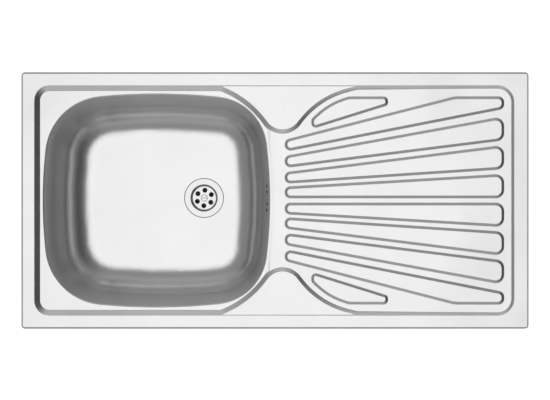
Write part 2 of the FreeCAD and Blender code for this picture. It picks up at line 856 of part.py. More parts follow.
def sound_pad():
    """The damping pad stuck under the bowl's floor."""
    x, y, corner = "pad_length/2", "pad_width/2", "pad_corner"
    corners = [(f"{x}-{corner}", y), (f"-({x}-{corner})", y), (f"-{x}", f"{y}-{corner}")]
    corners += [(f"-{x}", f"-({y}-{corner})"), (f"-({x}-{corner})", f"-{y}")]
    corners += [(f"{x}-{corner}", f"-{y}"), (x, f"-({y}-{corner})"), (x, f"{y}-{corner}")]
    pad = profiled("SoundPad", corners, "pad_gauge", "XY_Plane")
    return place(pad, f"{BOWL_X}+pad_shift", "0", f"{FLOOR_UNDER}-pad_gauge/2")


def earth_tag():
    """The welded tab for the earthing lead, hanging under the rim."""
    low = f"{SHEET_UNDER}-tag_gauge"
    outer, leg = "tag_foot", "(tag_foot-tag_gauge)"
    tip = f"{SHEET_UNDER}-tag_drop"
    corners = [("0", SHEET_UNDER), ("0", low), (leg, low)]
    corners += [(leg, tip), (outer, tip), (outer, SHEET_UNDER)]
    tab = profiled("TagTab", corners, "tag_width")
    hole = rod("TagHole", "tag_hole_radius", "2*tag_foot", "0", "0", f"{tip}+tag_width/2", SIDEWAYS)
    tag = cut("EarthTag", tab, [hole])
    return place(tag, f"{RECESS_RIGHT}+ledge_depth+tag_gap", "tag_y")


sub_part(rim_seal(), "rim_seal")
sub_part(sound_pad(), "sound_pad")
sub_part(earth_tag(), "earth_tag")


# ---------------------------------------------------------------- waste

WASTE = (WASTE_X, "waste_y")
SEAT = "(rim_top-bowl_depth-waste_recess_depth)"
SEAT_UNDER = f"({SEAT}-sheet_gauge)"
FLANGE_UNDER = f"({SEAT}+upper_gasket)"
PLATE_TOP = f"({FLANGE_UNDER}-plate_depth)"
BODY_TOP = f"({SEAT_UNDER}-lower_gasket)"
BODY_UNDER = f"({BODY_TOP}-waste_body_flange)"
BRANCH_Z = f"({BODY_UNDER}-branch_drop)"
HUB_TOP = f"({BODY_UNDER}-hub_drop)"
CUP_END = f"({BODY_UNDER}-waste_cup_depth)"
OUTLET_END = f"({CUP_END}-outlet_length)"
GASKET_INNER, GASKET_OUTER = "(waste_hole_radius+1)", "(flange_radius-1)"


def flange_under(radius):
    """The underside of the dished waste flange at a radius."""
    return f"({FLANGE_UNDER}+({radius}-{GASKET_INNER})*flange_dish)"


def ring(name, inner, outer, low, high):
    return turned(name, [(inner, low), (outer, low), (outer, high), (inner, high)], *WASTE)


def upper_waste_gasket():
    corners = [(GASKET_INNER, SEAT), (GASKET_OUTER, SEAT)]
    corners += [(r, flange_under(r)) for r in (GASKET_OUTER, GASKET_INNER)]
    return turned("UpperWasteGasket", corners, *WASTE)


def strainer_flange():
    """The polished waste flange, stamped in one piece with its perforated strainer plate."""
    eye, rim, mouth = "(waste_screw_radius+play)", "flange_radius", "cup_radius"
    low = f"{PLATE_TOP}-flange_gauge"
    corners = [(eye, low), ("plate_radius+flange_gauge", low)]
    corners += [(mouth, flange_under(mouth)), (rim, flange_under(rim))]
    corners += [(rim, f"{flange_under(rim)}+flange_gauge")]
    corners += [(f"({mouth}-flange_gauge)", f"{flange_under(mouth)}+flange_gauge")]
    corners += [("plate_radius", PLATE_TOP), (eye, PLATE_TOP)]
    stamped = turned("StampedFlange", corners, *WASTE)
    holes = []
    for i in range(6):
        angle = 26 + 60 * i
        x = f"{WASTE_X}+strainer_hole_circle*cos({angle})"
        y = f"waste_y+strainer_hole_circle*sin({angle})"
        name = f"StrainerHole{i + 1}"
        holes.append(rod(name, "strainer_hole_radius", "3*flange_gauge", x, y, f"{low}-flange_gauge"))
    return cut("StrainerFlange", stamped, holes)


def waste_screw():
    """The long slotted screw that clamps the waste body up to the strainer plate."""
    shank, head, bevel = "waste_screw_radius", "waste_head_radius", "(waste_head_height/3)"
    top, end = f"({PLATE_TOP}+waste_head_height)", f"({PLATE_TOP}-waste_screw_length)"
    corners = [("0", end), (f"{shank}-{bevel}", end), (shank, f"{end}+{bevel}"), (shank, PLATE_TOP)]
    corners += [(head, PLATE_TOP), (head, f"{top}-{bevel}"), (f"{head}-{bevel}", top), ("0", top)]
    screw = turned("WasteScrewTurned", corners, *WASTE)
    sides = ("3*waste_head_radius", "waste_slot", "waste_head_height")
    driver = centred_box("WasteScrewSlot", *sides, f"{top}-{bevel}*1.5", *WASTE)
    return cut("WasteScrew", screw, [driver])


def waste_body():
    """The moulded cup under the bowl: threaded outlet, screw hub on three arms, overflow branch."""
    inner, outer = "waste_cup_radius", "(waste_cup_radius+plastic_wall)"
    bore, thread = "outlet_bore_radius", "outlet_thread_radius"
    funnel = "(waste_cup_radius-outlet_bore_radius)"
    corners = [(inner, BODY_TOP), (inner, f"{CUP_END}+{funnel}"), (bore, CUP_END), (bore, OUTLET_END)]
    corners += [(f"({thread}-1)", OUTLET_END), (thread, f"{OUTLET_END}+1"), (thread, CUP_END)]
    corners += [(outer, f"{CUP_END}+{funnel}"), (outer, BODY_UNDER)]
    corners += [("waste_body_radius", BODY_UNDER), ("waste_body_radius", BODY_TOP)]
    shell = turned("WasteShell", corners, *WASTE)
    hub = rod("WasteHub", "hub_radius", "hub_height", *WASTE, f"{HUB_TOP}-hub_height")
    arms = []
    for i, angle in enumerate((90, 210, 330), start=1):
        arm = doc.addObject("Part::Box", f"WasteArm{i}")
        length = "waste_cup_radius+plastic_wall/2-waste_screw_radius*2"
        bind(arm, Length=length, Width="rib_gauge", Height="hub_height*2/3")
        x = f"{WASTE_X}+waste_screw_radius*2*cos({angle})+rib_gauge/2*sin({angle})"
        y = f"waste_y+waste_screw_radius*2*sin({angle})-rib_gauge/2*cos({angle})"
        arms.append(place(arm, x, y, f"{HUB_TOP}-hub_height*2/3", (UP, angle)))

    def branch_rod(name, radius, length, start):
        return rod(name, radius, length, f"{WASTE_X}+{start}", "waste_y", BRANCH_Z, SIDEWAYS)

    wall = "waste_cup_radius+plastic_wall/2"
    boss = branch_rod("BranchBoss", "spigot_radius", f"branch_reach-({wall})", wall)
    solid = fuse("WasteMoulding", [shell, boss, hub] + arms)
    mouth, clear = "branch_reach-socket_depth", "hub_radius+hub_height"
    socket = branch_rod("BranchSocket", "pipe_radius+spigot_fit", "socket_depth", mouth)
    branch = branch_rod("BranchBore", "pipe_radius-pipe_wall", f"branch_reach-({clear})", clear)
    eye = rod("HubBore", "waste_screw_radius+play", "2*hub_height", *WASTE, f"{HUB_TOP}-1.5*hub_height")
    flats, tall = "insert_flats+2*insert_fit", "insert_height+1"
    pocket = hexagon("HubPocket", flats, tall, *WASTE, f"{HUB_TOP}-hub_height-1")
    return cut("WasteBody", solid, [socket, branch, eye, pocket])


def insert_nut():
    """The hexagonal nut pressed into the waste body's hub."""
    low = f"{HUB_TOP}-hub_height"
    body = hexagon("InsertBlank", "insert_flats", "insert_height", *WASTE, low)
    radius = "waste_screw_radius+pivot_fit"
    bore = rod("InsertBore", radius, "3*insert_height", *WASTE, f"{low}-insert_height")
    return cut("InsertNut", body, [bore])


sub_part(upper_waste_gasket(), "upper_waste_gasket")
sub_part(strainer_flange(), "strainer_flange")
sub_part(waste_screw(), "waste_screw")
lower_gasket = ring("LowerWasteGasket", "waste_hole_radius+0.5", GASKET_OUTER, BODY_TOP, SEAT_UNDER)
sub_part(lower_gasket, "lower_waste_gasket")
sub_part(waste_body(), "waste_body")
sub_part(insert_nut(), "insert_nut")


# ---------------------------------------------------------------- overflow

WALL_X = (
    f"({BOWL_RIGHT}-(overflow_drop-ledge_depth)*tan(bowl_draft)"
    "-overflow_y*overflow_y/2/bowl_side_radius+sheet_gauge/cos(bowl_draft))"
)
WALL_Z = "(rim_top-overflow_drop)"
WALL_TURN = (V(0, 1, 0), value("bowl_draft"))
SPIGOT_END = f"({WALL_Z}-spigot_drop)"
BRANCH_END = f"({WASTE_X}+branch_reach)"


def on_wall(made):
    """Moves a piece from the wall's frame (x out of the bowl) into place."""
    return place(made, WALL_X, "overflow_y", WALL_Z, WALL_TURN)


def wall_box(name, start, end, half_width, half_height):
    sides = (f"{end}-({start})", f"2*{half_width}", f"2*{half_height}")
    return box(name, *sides, start, f"-{half_width}", f"-{half_height}")


def wall_rod(name, radius, start, end):
    return rod(name, radius, f"{end}-({start})", start, "0", "0", SIDEWAYS)


def overflow_gasket():
    """The frame-shaped gasket between the bowl's wall and the hopper."""
    wide, tall, deep = "hopper_width/2", "hopper_height/2", "overflow_gasket"
    inner_wide, inner_tall = f"({wide}-gasket_land)", f"({tall}-gasket_land)"
    pad = wall_box("GasketPad", f"-{deep}/2", deep, wide, tall)
    window = wall_box("GasketWindow", f"-{deep}", f"2*{deep}", inner_wide, inner_tall)
    frame = on_wall(cut("GasketFrame", pad, [window]))
    bowl = doc.addObject("Part::Feature", "BowlOutside")
    bowl.Shape = bowl_cutter(SKIN)
    return cut("OverflowGasket", frame, [bowl])


def overflow_hopper():
    """The moulded box behind the overflow slots, with a spigot for the pipe."""
    wide, tall, front = "hopper_width/2", "hopper_height/2", "overflow_gasket"
    back = "(overflow_gasket+hopper_depth)"
    flange = wall_box("HopperFlange", front, f"{front}+hopper_flange", wide, tall)
    shell = wall_box("HopperShell", front, back, f"({wide}-hopper_step)", f"({tall}-hopper_step)")
    solid = on_wall(fuse("HopperBlock", [flange, shell]))
    at = (PIPE_X, "overflow_y", SPIGOT_END)
    spigot = rod("HopperSpigot", "spigot_radius", "spigot_length", *at)
    room_wide = f"({wide}-hopper_step-hopper_wall)"
    room_tall = f"({tall}-hopper_step-hopper_wall)"
    room = wall_box("HopperRoom", f"{front}-1", f"{back}-hopper_wall", room_wide, room_tall)
    post = wall_rod("HopperPost", "hopper_post_radius", f"{front}+hopper_flange/2", back)
    room = on_wall(cut("HopperSpace", room, [post]))
    socket = rod("SpigotSocket", "pipe_radius+spigot_fit", "socket_depth", *at)
    bore = rod("SpigotBore", "pipe_radius-pipe_wall", "spigot_length+hopper_wall", *at)
    pilot = wall_rod("PostPilot", "overflow_screw_radius+play", front, "overflow_screw_length")
    pocket_end = f"{front}+hopper_flange/2+overflow_insert_length"
    pocket = wall_rod("PostPocket", "insert_radius", front, pocket_end)
    drilled = on_wall(fuse("PostHole", [pilot, pocket]))
    return cut("OverflowHopper", fuse("HopperMoulding", [solid, spigot]), [room, socket, bore, drilled])


def overflow_insert():
    """The threaded sleeve moulded into the hopper's post."""
    front = "overflow_gasket+hopper_flange/2"
    sleeve = wall_rod("InsertSleeve", "insert_radius", front, f"({front}+overflow_insert_length)")
    bore = wall_rod("SleeveBore", "overflow_screw_radius+pivot_fit", "0", "2*overflow_screw_length")
    return on_wall(cut("OverflowInsert", sleeve, [bore]))


def overflow_screw():
    """The pan-head screw inside the bowl that pulls the hopper to the wall."""
    face, head = "(-sheet_gauge-pivot_fit)", "overflow_screw_head"
    shank, end, top = "overflow_screw_radius", "overflow_screw_length-sheet_gauge", f"({face}-{head}/2)"
    corners = [("0", end), (shank, end), (shank, face), (head, face)]
    corners += [(head, f"{face}-{head}/4"), (f"{head}*0.7", top), ("0", top)]
    blank = turned("OverflowScrewTurned", corners)
    slot_across = centred_box("OverflowScrewSlotA", head, "screw_slot", f"{head}/4", top)
    slot_along = centred_box("OverflowScrewSlotB", "screw_slot", head, f"{head}/4", top)
    screw = cut("OverflowScrew", blank, [slot_across, slot_along])
    return place(screw, WALL_X, "overflow_y", WALL_Z, (V(0, 1, 0), 90 + value("bowl_draft")))


def pipe_run(name, radius):
    """The overflow pipe's path as a solid of one radius: down, round a bend, then to the branch."""
    bend_z = f"({BRANCH_Z}+pipe_bend_radius)"
    top = f"({SPIGOT_END}+socket_depth-1)"
    drop = rod(name + "Drop", radius, f"{top}-{bend_z}", PIPE_X, "overflow_y", bend_z)
    bend = doc.addObject("Part::Torus", name + "Bend")
    bend.Angle3 = 90
    bind(bend, Radius1="pipe_bend_radius", Radius2=radius)
    place(bend, f"{PIPE_X}-pipe_bend_radius", "overflow_y", bend_z, (V(1, 0, 0), -90))
    end = f"({BRANCH_END}-socket_depth+1)"
    length = f"{PIPE_X}-pipe_bend_radius-{end}"
    along = rod(name + "Run", radius, length, end, "overflow_y", BRANCH_Z, SIDEWAYS)
    return fuse(name, [drop, bend, along])


def pipe_union(name):
    """The nut and washer of one pipe joint; the nut's cap is at the top."""
    hole, thread = "(pipe_radius+play)", "(spigot_radius+play)"
    blank = doc.addObject("Part::Prism", name + "Blank")
    blank.Polygon = 12
    bind(blank, Circumradius="union_radius", Height="union_length")
    bore = turned(name + "Bore", [
        ("0", "-1"), (thread, "-1"), (thread, "union_length-union_cap"),
        (hole, "union_length-union_cap"), (hole, "union_length+1"), ("0", "union_length+1"),
    ])
    nut = cut(name + "Nut", blank, [bore])
    washer = turned(name + "Washer", [
        ("pipe_radius+pivot_fit", "0"), ("spigot_radius", "0"),
        ("spigot_radius", "washer_height"), ("pipe_radius+pivot_fit", "washer_height"),
    ])
    return nut, washer


sub_part(overflow_gasket(), "overflow_gasket")
sub_part(overflow_hopper(), "overflow_hopper")
sub_part(overflow_insert(), "overflow_insert")
sub_part(overflow_screw(), "overflow_screw")
pipe_bore = pipe_run("PipeInner", "pipe_radius-pipe_wall")
sub_part(cut("OverflowPipe", pipe_run("PipeOuter", "pipe_radius"), [pipe_bore]), "overflow_pipe")

NUT_BACK = "(union_length-union_cap-washer_height)"
upper_nut, upper_washer = pipe_union("UpperPipe")
place(upper_nut, PIPE_X, "overflow_y", f"{SPIGOT_END}+{NUT_BACK}", (V(1, 0, 0), 180))
place(upper_washer, PIPE_X, "overflow_y", f"{SPIGOT_END}-washer_height")
lower_nut, lower_washer = pipe_union("LowerPipe")
place(lower_nut, f"{BRANCH_END}-{NUT_BACK}", "waste_y", BRANCH_Z, SIDEWAYS)
place(lower_washer, BRANCH_END, "waste_y", BRANCH_Z, SIDEWAYS)
sub_part(upper_nut, "upper_pipe_nut")
sub_part(upper_washer, "upper_pipe_washer")
sub_part(lower_nut, "lower_pipe_nut")
sub_part(lower_washer, "lower_pipe_washer")


# ---------------------------------------------------------------- worktop clamps

BRIDGE_TOP = f"({SHEET_UNDER}-bracket_drop)"
GUIDE_TOP = f"({BRIDGE_TOP}-bracket_gauge-play)"
NUT_TOP = f"({GUIDE_TOP}-nut_drop)"
GUIDE_LENGTH = "(nut_drop+nut_height+clamp_lift+screw_collar_height+claw_gauge+5*play-sheet_gauge/4)"
GUIDE_END = f"({GUIDE_TOP}-{GUIDE_LENGTH})"
CLAW_UNDER = f"({GUIDE_END}-sheet_gauge/4)"
CLAW_TOP = f"({CLAW_UNDER}+claw_gauge)"
SIDE = f"({RECESS_SIDE}+ledge_depth+clamp_side_gap)"
LEFT_END = f"({RECESS_LEFT}+ledge_depth+clamp_left_gap)"
RIGHT_END = f"({RECESS_RIGHT}+ledge_depth+clamp_right_gap)"
LEFT = "(clamp_left_run-sink_length/2)"
MIDDLE = f"({BOWL_RIGHT}+clamp_middle_run)"
RIGHT = "(sink_length/2-clamp_right_run)"
# each station: where its pivot stands, and the way its arm points when it holds the worktop
STATIONS = [
    (LEFT, SIDE, 90),
    (MIDDLE, SIDE, 90),
    (RIGHT, SIDE, 90),
    (RIGHT_END, "0", 0),
    (RIGHT, f"-{SIDE}", -90),
    (MIDDLE, f"-{SIDE}", -90),
    (LEFT, f"-{SIDE}", -90),
    (f"-{LEFT_END}", "0", 180),
]


def centred_rod(name, radius, height, middle):
    """An upright rod on the Z axis, as tall above its middle as below it."""
    return rod(name, radius, height, "0", "0", f"{middle}-{height}/2")


def clamp_bracket():
    """The spot-welded hat that carries a clamp; its span runs along local Y."""
    span, gauge = "bracket_half_span", "bracket_gauge"
    low = f"({BRIDGE_TOP}-{gauge})"
    foot = f"({SHEET_UNDER}-{gauge})"
    inner, toe = f"({span}-{gauge})", f"({span}+bracket_foot)"
    half = [(toe, SHEET_UNDER), (toe, foot), (span, foot), (span, low)]
    inside = [(inner, BRIDGE_TOP), (inner, SHEET_UNDER)]
    corners = half + [(f"-{a}", b) for a, b in reversed(half)]
    corners += [(f"-{a}", b) for a, b in reversed(inside)] + inside
    hat = profiled("BracketHat", corners, "bracket_width", "YZ_Plane")
    hole = centred_rod("BracketHole", "rivet_radius", "4*bracket_gauge", low)
    return hat, hole


def clamp_rivet():
    """The shouldered rivet the guide swings on."""
    shank, head = "rivet_radius", "rivet_head_radius"
    end = f"({GUIDE_TOP}-guide_gauge-play)"
    low, top = f"({end}-rivet_head)", f"({BRIDGE_TOP}+rivet_head)"
    corners = [("0", low), (head, low), (head, end), (shank, end), (shank, BRIDGE_TOP)]
    corners += [(head, BRIDGE_TOP), (head, f"{top}-rivet_head/2"), (shank, top), ("0", top)]
    return turned("RivetTurned", corners)


def clamp_guide():
    """The swinging channel, open towards the arm, with a nut plate welded across it."""
    half, gauge, reach = "guide_half_width", "guide_gauge", "(guide_half_width+guide_reach)"
    clear, start = f"2*({half}-{gauge})", f"{gauge}-{half}"
    outer = box("GuideBlock", reach, f"2*{half}", GUIDE_LENGTH, f"-{half}", f"-{half}", GUIDE_END)
    inner = box("GuideSpace", reach, clear, GUIDE_LENGTH, start, start, f"{GUIDE_END}-{gauge}")
    channel = cut("GuideChannel", outer, [inner])
    seat = f"{NUT_TOP}-nut_height"
    plate = box("NutPlate", f"{reach}-{gauge}", clear, "nut_height", start, start, seat)
    pivot = centred_rod("GuidePivot", "rivet_radius+pivot_fit", "4*guide_gauge", GUIDE_TOP)
    thread = centred_rod("NutBore", "clamp_screw_radius+thread_fit", "4*nut_height", NUT_TOP)
    return fuse("GuideWelded", [channel, plate]), fuse("GuideHoles", [pivot, thread])


def clamp_claw():
    """The toothed arm that lifts against the worktop's underside."""
    neck = "(guide_half_width-guide_gauge-claw_side_play)"
    wide, tip = "claw_half_width", "(-claw_tooth_top)"
    start, edge = "guide_reach+play", f"-{neck}"
    root = box("ClawNeck", f"{neck}+{start}+play", f"2*{neck}", "claw_gauge", edge, edge, CLAW_UNDER)
    length = f"claw_reach-({start})"
    plate = box("ClawPlate", length, f"2*{wide}", "claw_gauge", start, f"-{wide}", CLAW_UNDER)
    teeth = 3
    pitch = f"(2*{wide}/{teeth})"
    valley = f"({tip}-claw_tooth_depth)"
    corners = [(f"-{wide}", CLAW_UNDER), (wide, CLAW_UNDER), (wide, valley)]
    for i in range(teeth):
        corners.append((f"{wide}-{pitch}*{i + 0.5}", tip))
        corners.append((f"{wide}-{pitch}*{i + 1}", valley))
    upstand = profiled("ClawTeeth", corners, "claw_gauge", "YZ_Plane")
    place(upstand, "claw_reach-claw_gauge/2")
    bore = centred_rod("ClawBore", "clamp_screw_radius+thread_fit", "4*claw_gauge", CLAW_UNDER)
    return fuse("ClawBlank", [root, plate, upstand]), bore


def clamp_screw():
    """The clamp's screw: its head pushes the claw up, its collar keeps the claw on."""
    shank, head, collar = "clamp_screw_radius", "clamp_screw_head", "screw_collar_radius"
    under = f"({CLAW_UNDER}-play)"
    low = f"({under}-clamp_screw_head_height)"
    rest, top = f"({CLAW_TOP}+play)", f"({NUT_TOP}+pivot_fit)"
    corners = [("0", low), (f"{head}-play", low), (head, f"{low}+play"), (head, under), (shank, under)]
    corners += [(shank, rest), (collar, rest), (collar, f"{rest}+screw_collar_height")]
    corners += [(shank, f"{rest}+screw_collar_height"), (shank, f"{top}-play")]
    corners += [(f"{shank}-play", top), ("0", top)]
    blank = turned("ClampScrewTurned", corners)
    sides = ("3*clamp_screw_head", "screw_slot", "clamp_screw_head_height/2")
    driver = centred_box("ClampScrewSlot", *sides, f"{low}-play")
    return blank, driver


def at_station(name, pair, station, turn):
    """One clamp piece, cut from its shared blank and put at a station."""
    x, y, _ = station
    base, tool = pair
    made = cut(name, base, [tool])
    return place(made, x, y, "0", (UP, turn))


def grouped(name, pieces):
    made = doc.addObject("Part::Compound", name)
    made.Links = pieces
    return made


bracket = clamp_bracket()
rivet = clamp_rivet()
guide, claw, screw = clamp_guide(), clamp_claw(), clamp_screw()
brackets, rivets = [], []
for number, station in enumerate(STATIONS, start=1):
    outward = station[2]
    brackets.append(at_station(f"Bracket{number}", bracket, station, outward))
    x, y, _ = station
    placed = doc.addObject("Part::Compound", f"Rivet{number}")
    placed.Links = [rivet]
    rivets.append(place(placed, x, y))
    for label, pair in (("guide", guide), ("claw", claw), ("screw", screw)):
        made = at_station(f"{label.title()}{number}", pair, station, outward - 90)
        sub_part(made, f"clamp_{label}_{number}")
sub_part(grouped("ClampBrackets", brackets), "clamp_brackets")
sub_part(grouped("ClampRivets", rivets), "clamp_rivets")


# ---------------------------------------------------------------- check and write

doc.recompute()
for made in doc.Objects:
    if "Invalid" in made.State or "Error" in made.State:
        raise RuntimeError(f"{made.Name} did not compute")
for made in SUB_PARTS:
    if made.Shape.isNull() or not made.Shape.isValid() or not made.Shape.Solids:
        raise RuntimeError(f"{made.Label} has no valid solid")
os.makedirs("parts", exist_ok=True)
for made in SUB_PARTS:
    solids = made.Shape.Solids
    shape = solids[0] if len(solids) == 1 else Part.makeCompound(solids)
    shape.exportStep(f"parts/{made.Label}.step")
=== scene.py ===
"""Looks for an inset kitchen sink with a drainboard: satin pressed sheet, waste, overflow, clamps.

Metres, in the packed model's frame: Z = 0 is the worktop surface and +Z is up.
"""

import json
import math

import bmesh
import bpy
from bpy.props import FloatProperty, FloatVectorProperty, IntProperty, PointerProperty
from mathutils import Matrix, Vector

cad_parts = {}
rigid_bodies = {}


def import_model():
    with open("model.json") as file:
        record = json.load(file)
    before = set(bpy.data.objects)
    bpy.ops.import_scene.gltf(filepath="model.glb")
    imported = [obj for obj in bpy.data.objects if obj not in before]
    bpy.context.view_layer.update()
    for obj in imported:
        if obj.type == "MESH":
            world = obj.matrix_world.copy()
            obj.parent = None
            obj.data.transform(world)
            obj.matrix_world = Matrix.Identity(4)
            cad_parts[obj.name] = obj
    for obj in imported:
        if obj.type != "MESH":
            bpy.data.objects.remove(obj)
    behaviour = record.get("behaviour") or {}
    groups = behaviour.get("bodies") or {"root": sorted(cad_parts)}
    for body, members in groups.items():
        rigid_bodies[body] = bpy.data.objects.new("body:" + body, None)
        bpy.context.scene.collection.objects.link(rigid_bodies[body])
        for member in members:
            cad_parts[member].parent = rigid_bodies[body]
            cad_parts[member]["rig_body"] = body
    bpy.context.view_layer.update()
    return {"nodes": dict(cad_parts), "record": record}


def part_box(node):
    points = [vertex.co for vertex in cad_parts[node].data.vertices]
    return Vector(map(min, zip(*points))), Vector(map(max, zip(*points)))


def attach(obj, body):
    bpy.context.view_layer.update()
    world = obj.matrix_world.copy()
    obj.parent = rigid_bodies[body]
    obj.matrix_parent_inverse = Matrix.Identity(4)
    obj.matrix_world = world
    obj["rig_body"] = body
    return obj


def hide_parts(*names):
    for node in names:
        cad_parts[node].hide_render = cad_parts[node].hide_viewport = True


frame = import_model()

bl_info = {
    "name": "Inset sink looks",
    "version": (1, 0, 0),
    "blender": (4, 5, 0),
    "location": "3D View > Sidebar > Sink",
    "description": "Models and finishes the visible pieces of an inset kitchen sink",
    "category": "Object",
}

PANEL_TAB = "Sink"
MM = 0.001
WELD = 2e-6
CLAMPS = range(1, 9)
# near black painted into hollows and crevices as painted shade
HOLLOW_SHADE_COLOR = (0.012, 0.012, 0.012, 1)
OCCLUSION_SAMPLES = 8
# creases sharper than these are kept, and corners sharper than this are rounded, in degrees
SHEET_CREASE = 40
PIECE_CREASE = 32
ROUNDED_CORNER = 28
FLAT_LIMIT = 0.6
# lengths from here to the weld marks are in millimetres
# the rim's corner radius, the width of the slope round its outside, and where its lip is sought
EDGE_CORNER = 6
EDGE_RUN = 3
LIP_ZONE = 5
# radii round the waste's axis at its seat, as pressed and as dressed, and the seat's height band
SEAT_RIM = [(34.5, 34.5), (36.4, 35.15), (38.0, 35.7), (39.4, 36.3), (41.5, 41.5)]
SEAT_BAND = 6
# the outlet's thread: radius at its crest, depth, and the height from the lower end to its top
OUTLET_CREST = 23.9
OUTLET_DEPTH = 1.1
OUTLET_THREAD_TOP = 23.6
# a clamp screw's thread, and the height from the screw's lower end to where it starts
SCREW_CREST = 2.5
SCREW_DEPTH = 0.42
SCREW_PLAIN = 7.9
THREAD_RUN_OUT = 0.6
# a grip rib's distance from its nut's axis, its depth and width, and its inset from the ends
GRIP_RADIUS = 16.45
GRIP_DEPTH = 0.9
GRIP_WIDTH = 1.1
GRIP_INSET = 1.5
# a weld mark's distance along the rim from its clamp, its middle's height, radius and thickness
WELD_REACH = 13
WELD_HEIGHT = 1.14
WELD_RADIUS = 1.7
WELD_THICKNESS = 0.16


# ------------------------------------------------------------------ settings


class SinkFinish(bpy.types.PropertyGroup):
    """Colours and surface values of the sheet and its fittings."""

    sheet_color: FloatVectorProperty(
        name="Sheet colour", description="Reflected colour of the pressed sheet",
        subtype="COLOR", size=3, min=0, max=1, default=(0.83, 0.83, 0.838),
    )
    sheet_roughness: FloatProperty(
        name="Sheet roughness", description="Mean roughness of the satin sheet",
        subtype="FACTOR", min=0, max=1, default=0.3,
    )
    # painted shade: a dark colour on the rim's sloped outer edge stands in for the dark reflection
    # that edge shows
    painted_edge_shade_color: FloatVectorProperty(
        name="Edge colour", description="Reflected colour of the rim's folded edge",
        subtype="COLOR", size=3, min=0, max=1, default=(0.22, 0.22, 0.225),
    )
    sheet_sag: FloatProperty(
        name="Sheet sag", description="Height of the sheet's faint hollows and swellings",
        unit="LENGTH", subtype="DISTANCE", min=0, max=0.02, default=0.006,
    )
    polished_color: FloatVectorProperty(
        name="Polished colour", description="Reflected colour of the polished waste and screws",
        subtype="COLOR", size=3, min=0, max=1, default=(0.72, 0.72, 0.728),
    )
    plated_color: FloatVectorProperty(
        name="Plated colour", description="Reflected colour of the zinc-plated clamps",
        subtype="COLOR", size=3, min=0, max=1, default=(0.6, 0.62, 0.65),
    )
    plastic_color: FloatVectorProperty(
        name="Plastic colour", description="Colour of the white mouldings",
        subtype="COLOR", size=3, min=0, max=1, default=(0.84, 0.84, 0.82),
    )
    nut_color: FloatVectorProperty(
        name="Nut colour", description="Colour of the grey union nuts",
        subtype="COLOR", size=3, min=0, max=1, default=(0.36, 0.37, 0.39),
    )
    rubber_color: FloatVectorProperty(
        name="Rubber colour", description="Colour of gaskets and washers",
        subtype="COLOR", size=3, min=0, max=1, default=(0.025, 0.025, 0.027),
    )


class SinkSizes(bpy.types.PropertyGroup):
    """Sizes of the details that the pieces are finished with."""

    rivet_dome: FloatProperty(
        name="Rivet dome", description="Rounding of the rivet heads",
        unit="LENGTH", subtype="DISTANCE", min=0.0001, max=0.0015, default=0.0007,
    )
    sheet_edge: FloatProperty(
        name="Sheet edge radius", description="Rounding of cut sheet edges",
        unit="LENGTH", subtype="DISTANCE", min=0.00005, max=0.002, default=0.0003,
    )
    moulded_edge: FloatProperty(
        name="Moulded edge radius", description="Rounding of the plastic pieces' edges",
        unit="LENGTH", subtype="DISTANCE", min=0.0001, max=0.003, default=0.0006,
    )
    soft_edge: FloatProperty(
        name="Soft edge radius", description="Rounding of foam, rubber and bitumen edges",
        unit="LENGTH", subtype="DISTANCE", min=0.0001, max=0.003, default=0.0005,
    )
    screw_pitch: FloatProperty(
        name="Screw pitch", description="Pitch of the clamp screws' thread",
        unit="LENGTH", subtype="DISTANCE", min=0.0003, max=0.003, default=0.0008,
    )
    outlet_pitch: FloatProperty(
        name="Outlet pitch", description="Pitch of the waste outlet's thread",
        unit="LENGTH", subtype="DISTANCE", min=0.001, max=0.005, default=0.0023,
    )
    grips: IntProperty(
        name="Nut grips", description="Number of grip ribs round a union nut",
        min=6, max=48, default=24,
    )


class SinkStage(bpy.types.PropertyGroup):
    """Camera, lamps and floor."""

    camera_height: FloatProperty(
        name="Camera height", description="Height of the camera above the worktop",
        unit="LENGTH", subtype="DISTANCE", min=0.5, max=10, default=2.0,
    )
    lens: FloatProperty(
        name="Lens", description="Focal length of the camera in millimetres",
        unit="CAMERA", min=10, max=300, default=77.2,
    )
    floor_drop: FloatProperty(
        name="Floor drop", description="Depth of the floor below the worktop plane",
        unit="LENGTH", subtype="DISTANCE", min=0.215, max=2, default=0.2142,
    )
    zenith: FloatProperty(
        name="Overhead light", description="Strength of the studio light from above",
        min=0, max=5, default=1.06,
    )
    horizon: FloatProperty(
        name="Side light", description="Strength of the studio light from the sides",
        min=0, max=5, default=0.155,
    )
    plain: FloatProperty(
        name="Plain light",
        description="Strength of the even light that falls on plastic, rubber and floor",
        min=0, max=5, default=0.9,
    )


SETTINGS = {"sink_finish": SinkFinish, "sink_sizes": SinkSizes, "sink_stage": SinkStage}


def settings(name):
    return getattr(bpy.context.scene, name)


# ------------------------------------------------------------------ materials


def blank(name):
    """A node material with only its shader and output."""
    made = bpy.data.materials.new(name)
    made.use_nodes = True
    tree = made.node_tree
    shader = next(n for n in tree.nodes if n.type == "BSDF_PRINCIPLED")
    return made, tree, shader


def wire(tree, source, socket, target, name):
    tree.links.new(source.outputs[socket], target.inputs[name])


def coordinates(tree, centre=(0, 0, 0)):
    """Object coordinates, centred by a Mapping node."""
    where = tree.nodes.new("ShaderNodeTexCoord")
    mapping = tree.nodes.new("ShaderNodeMapping")
    mapping.vector_type = "TEXTURE"
    mapping.inputs["Location"].default_value = centre
    wire(tree, where, "Object", mapping, "Vector")
    return mapping


def noise(tree, place, scale, detail=3, rough=0.5):
    made = tree.nodes.new("ShaderNodeTexNoise")
    made.inputs["Scale"].default_value = scale
    made.inputs["Detail"].default_value = detail
    made.inputs["Roughness"].default_value = rough
    wire(tree, place, "Vector", made, "Vector")
    return made


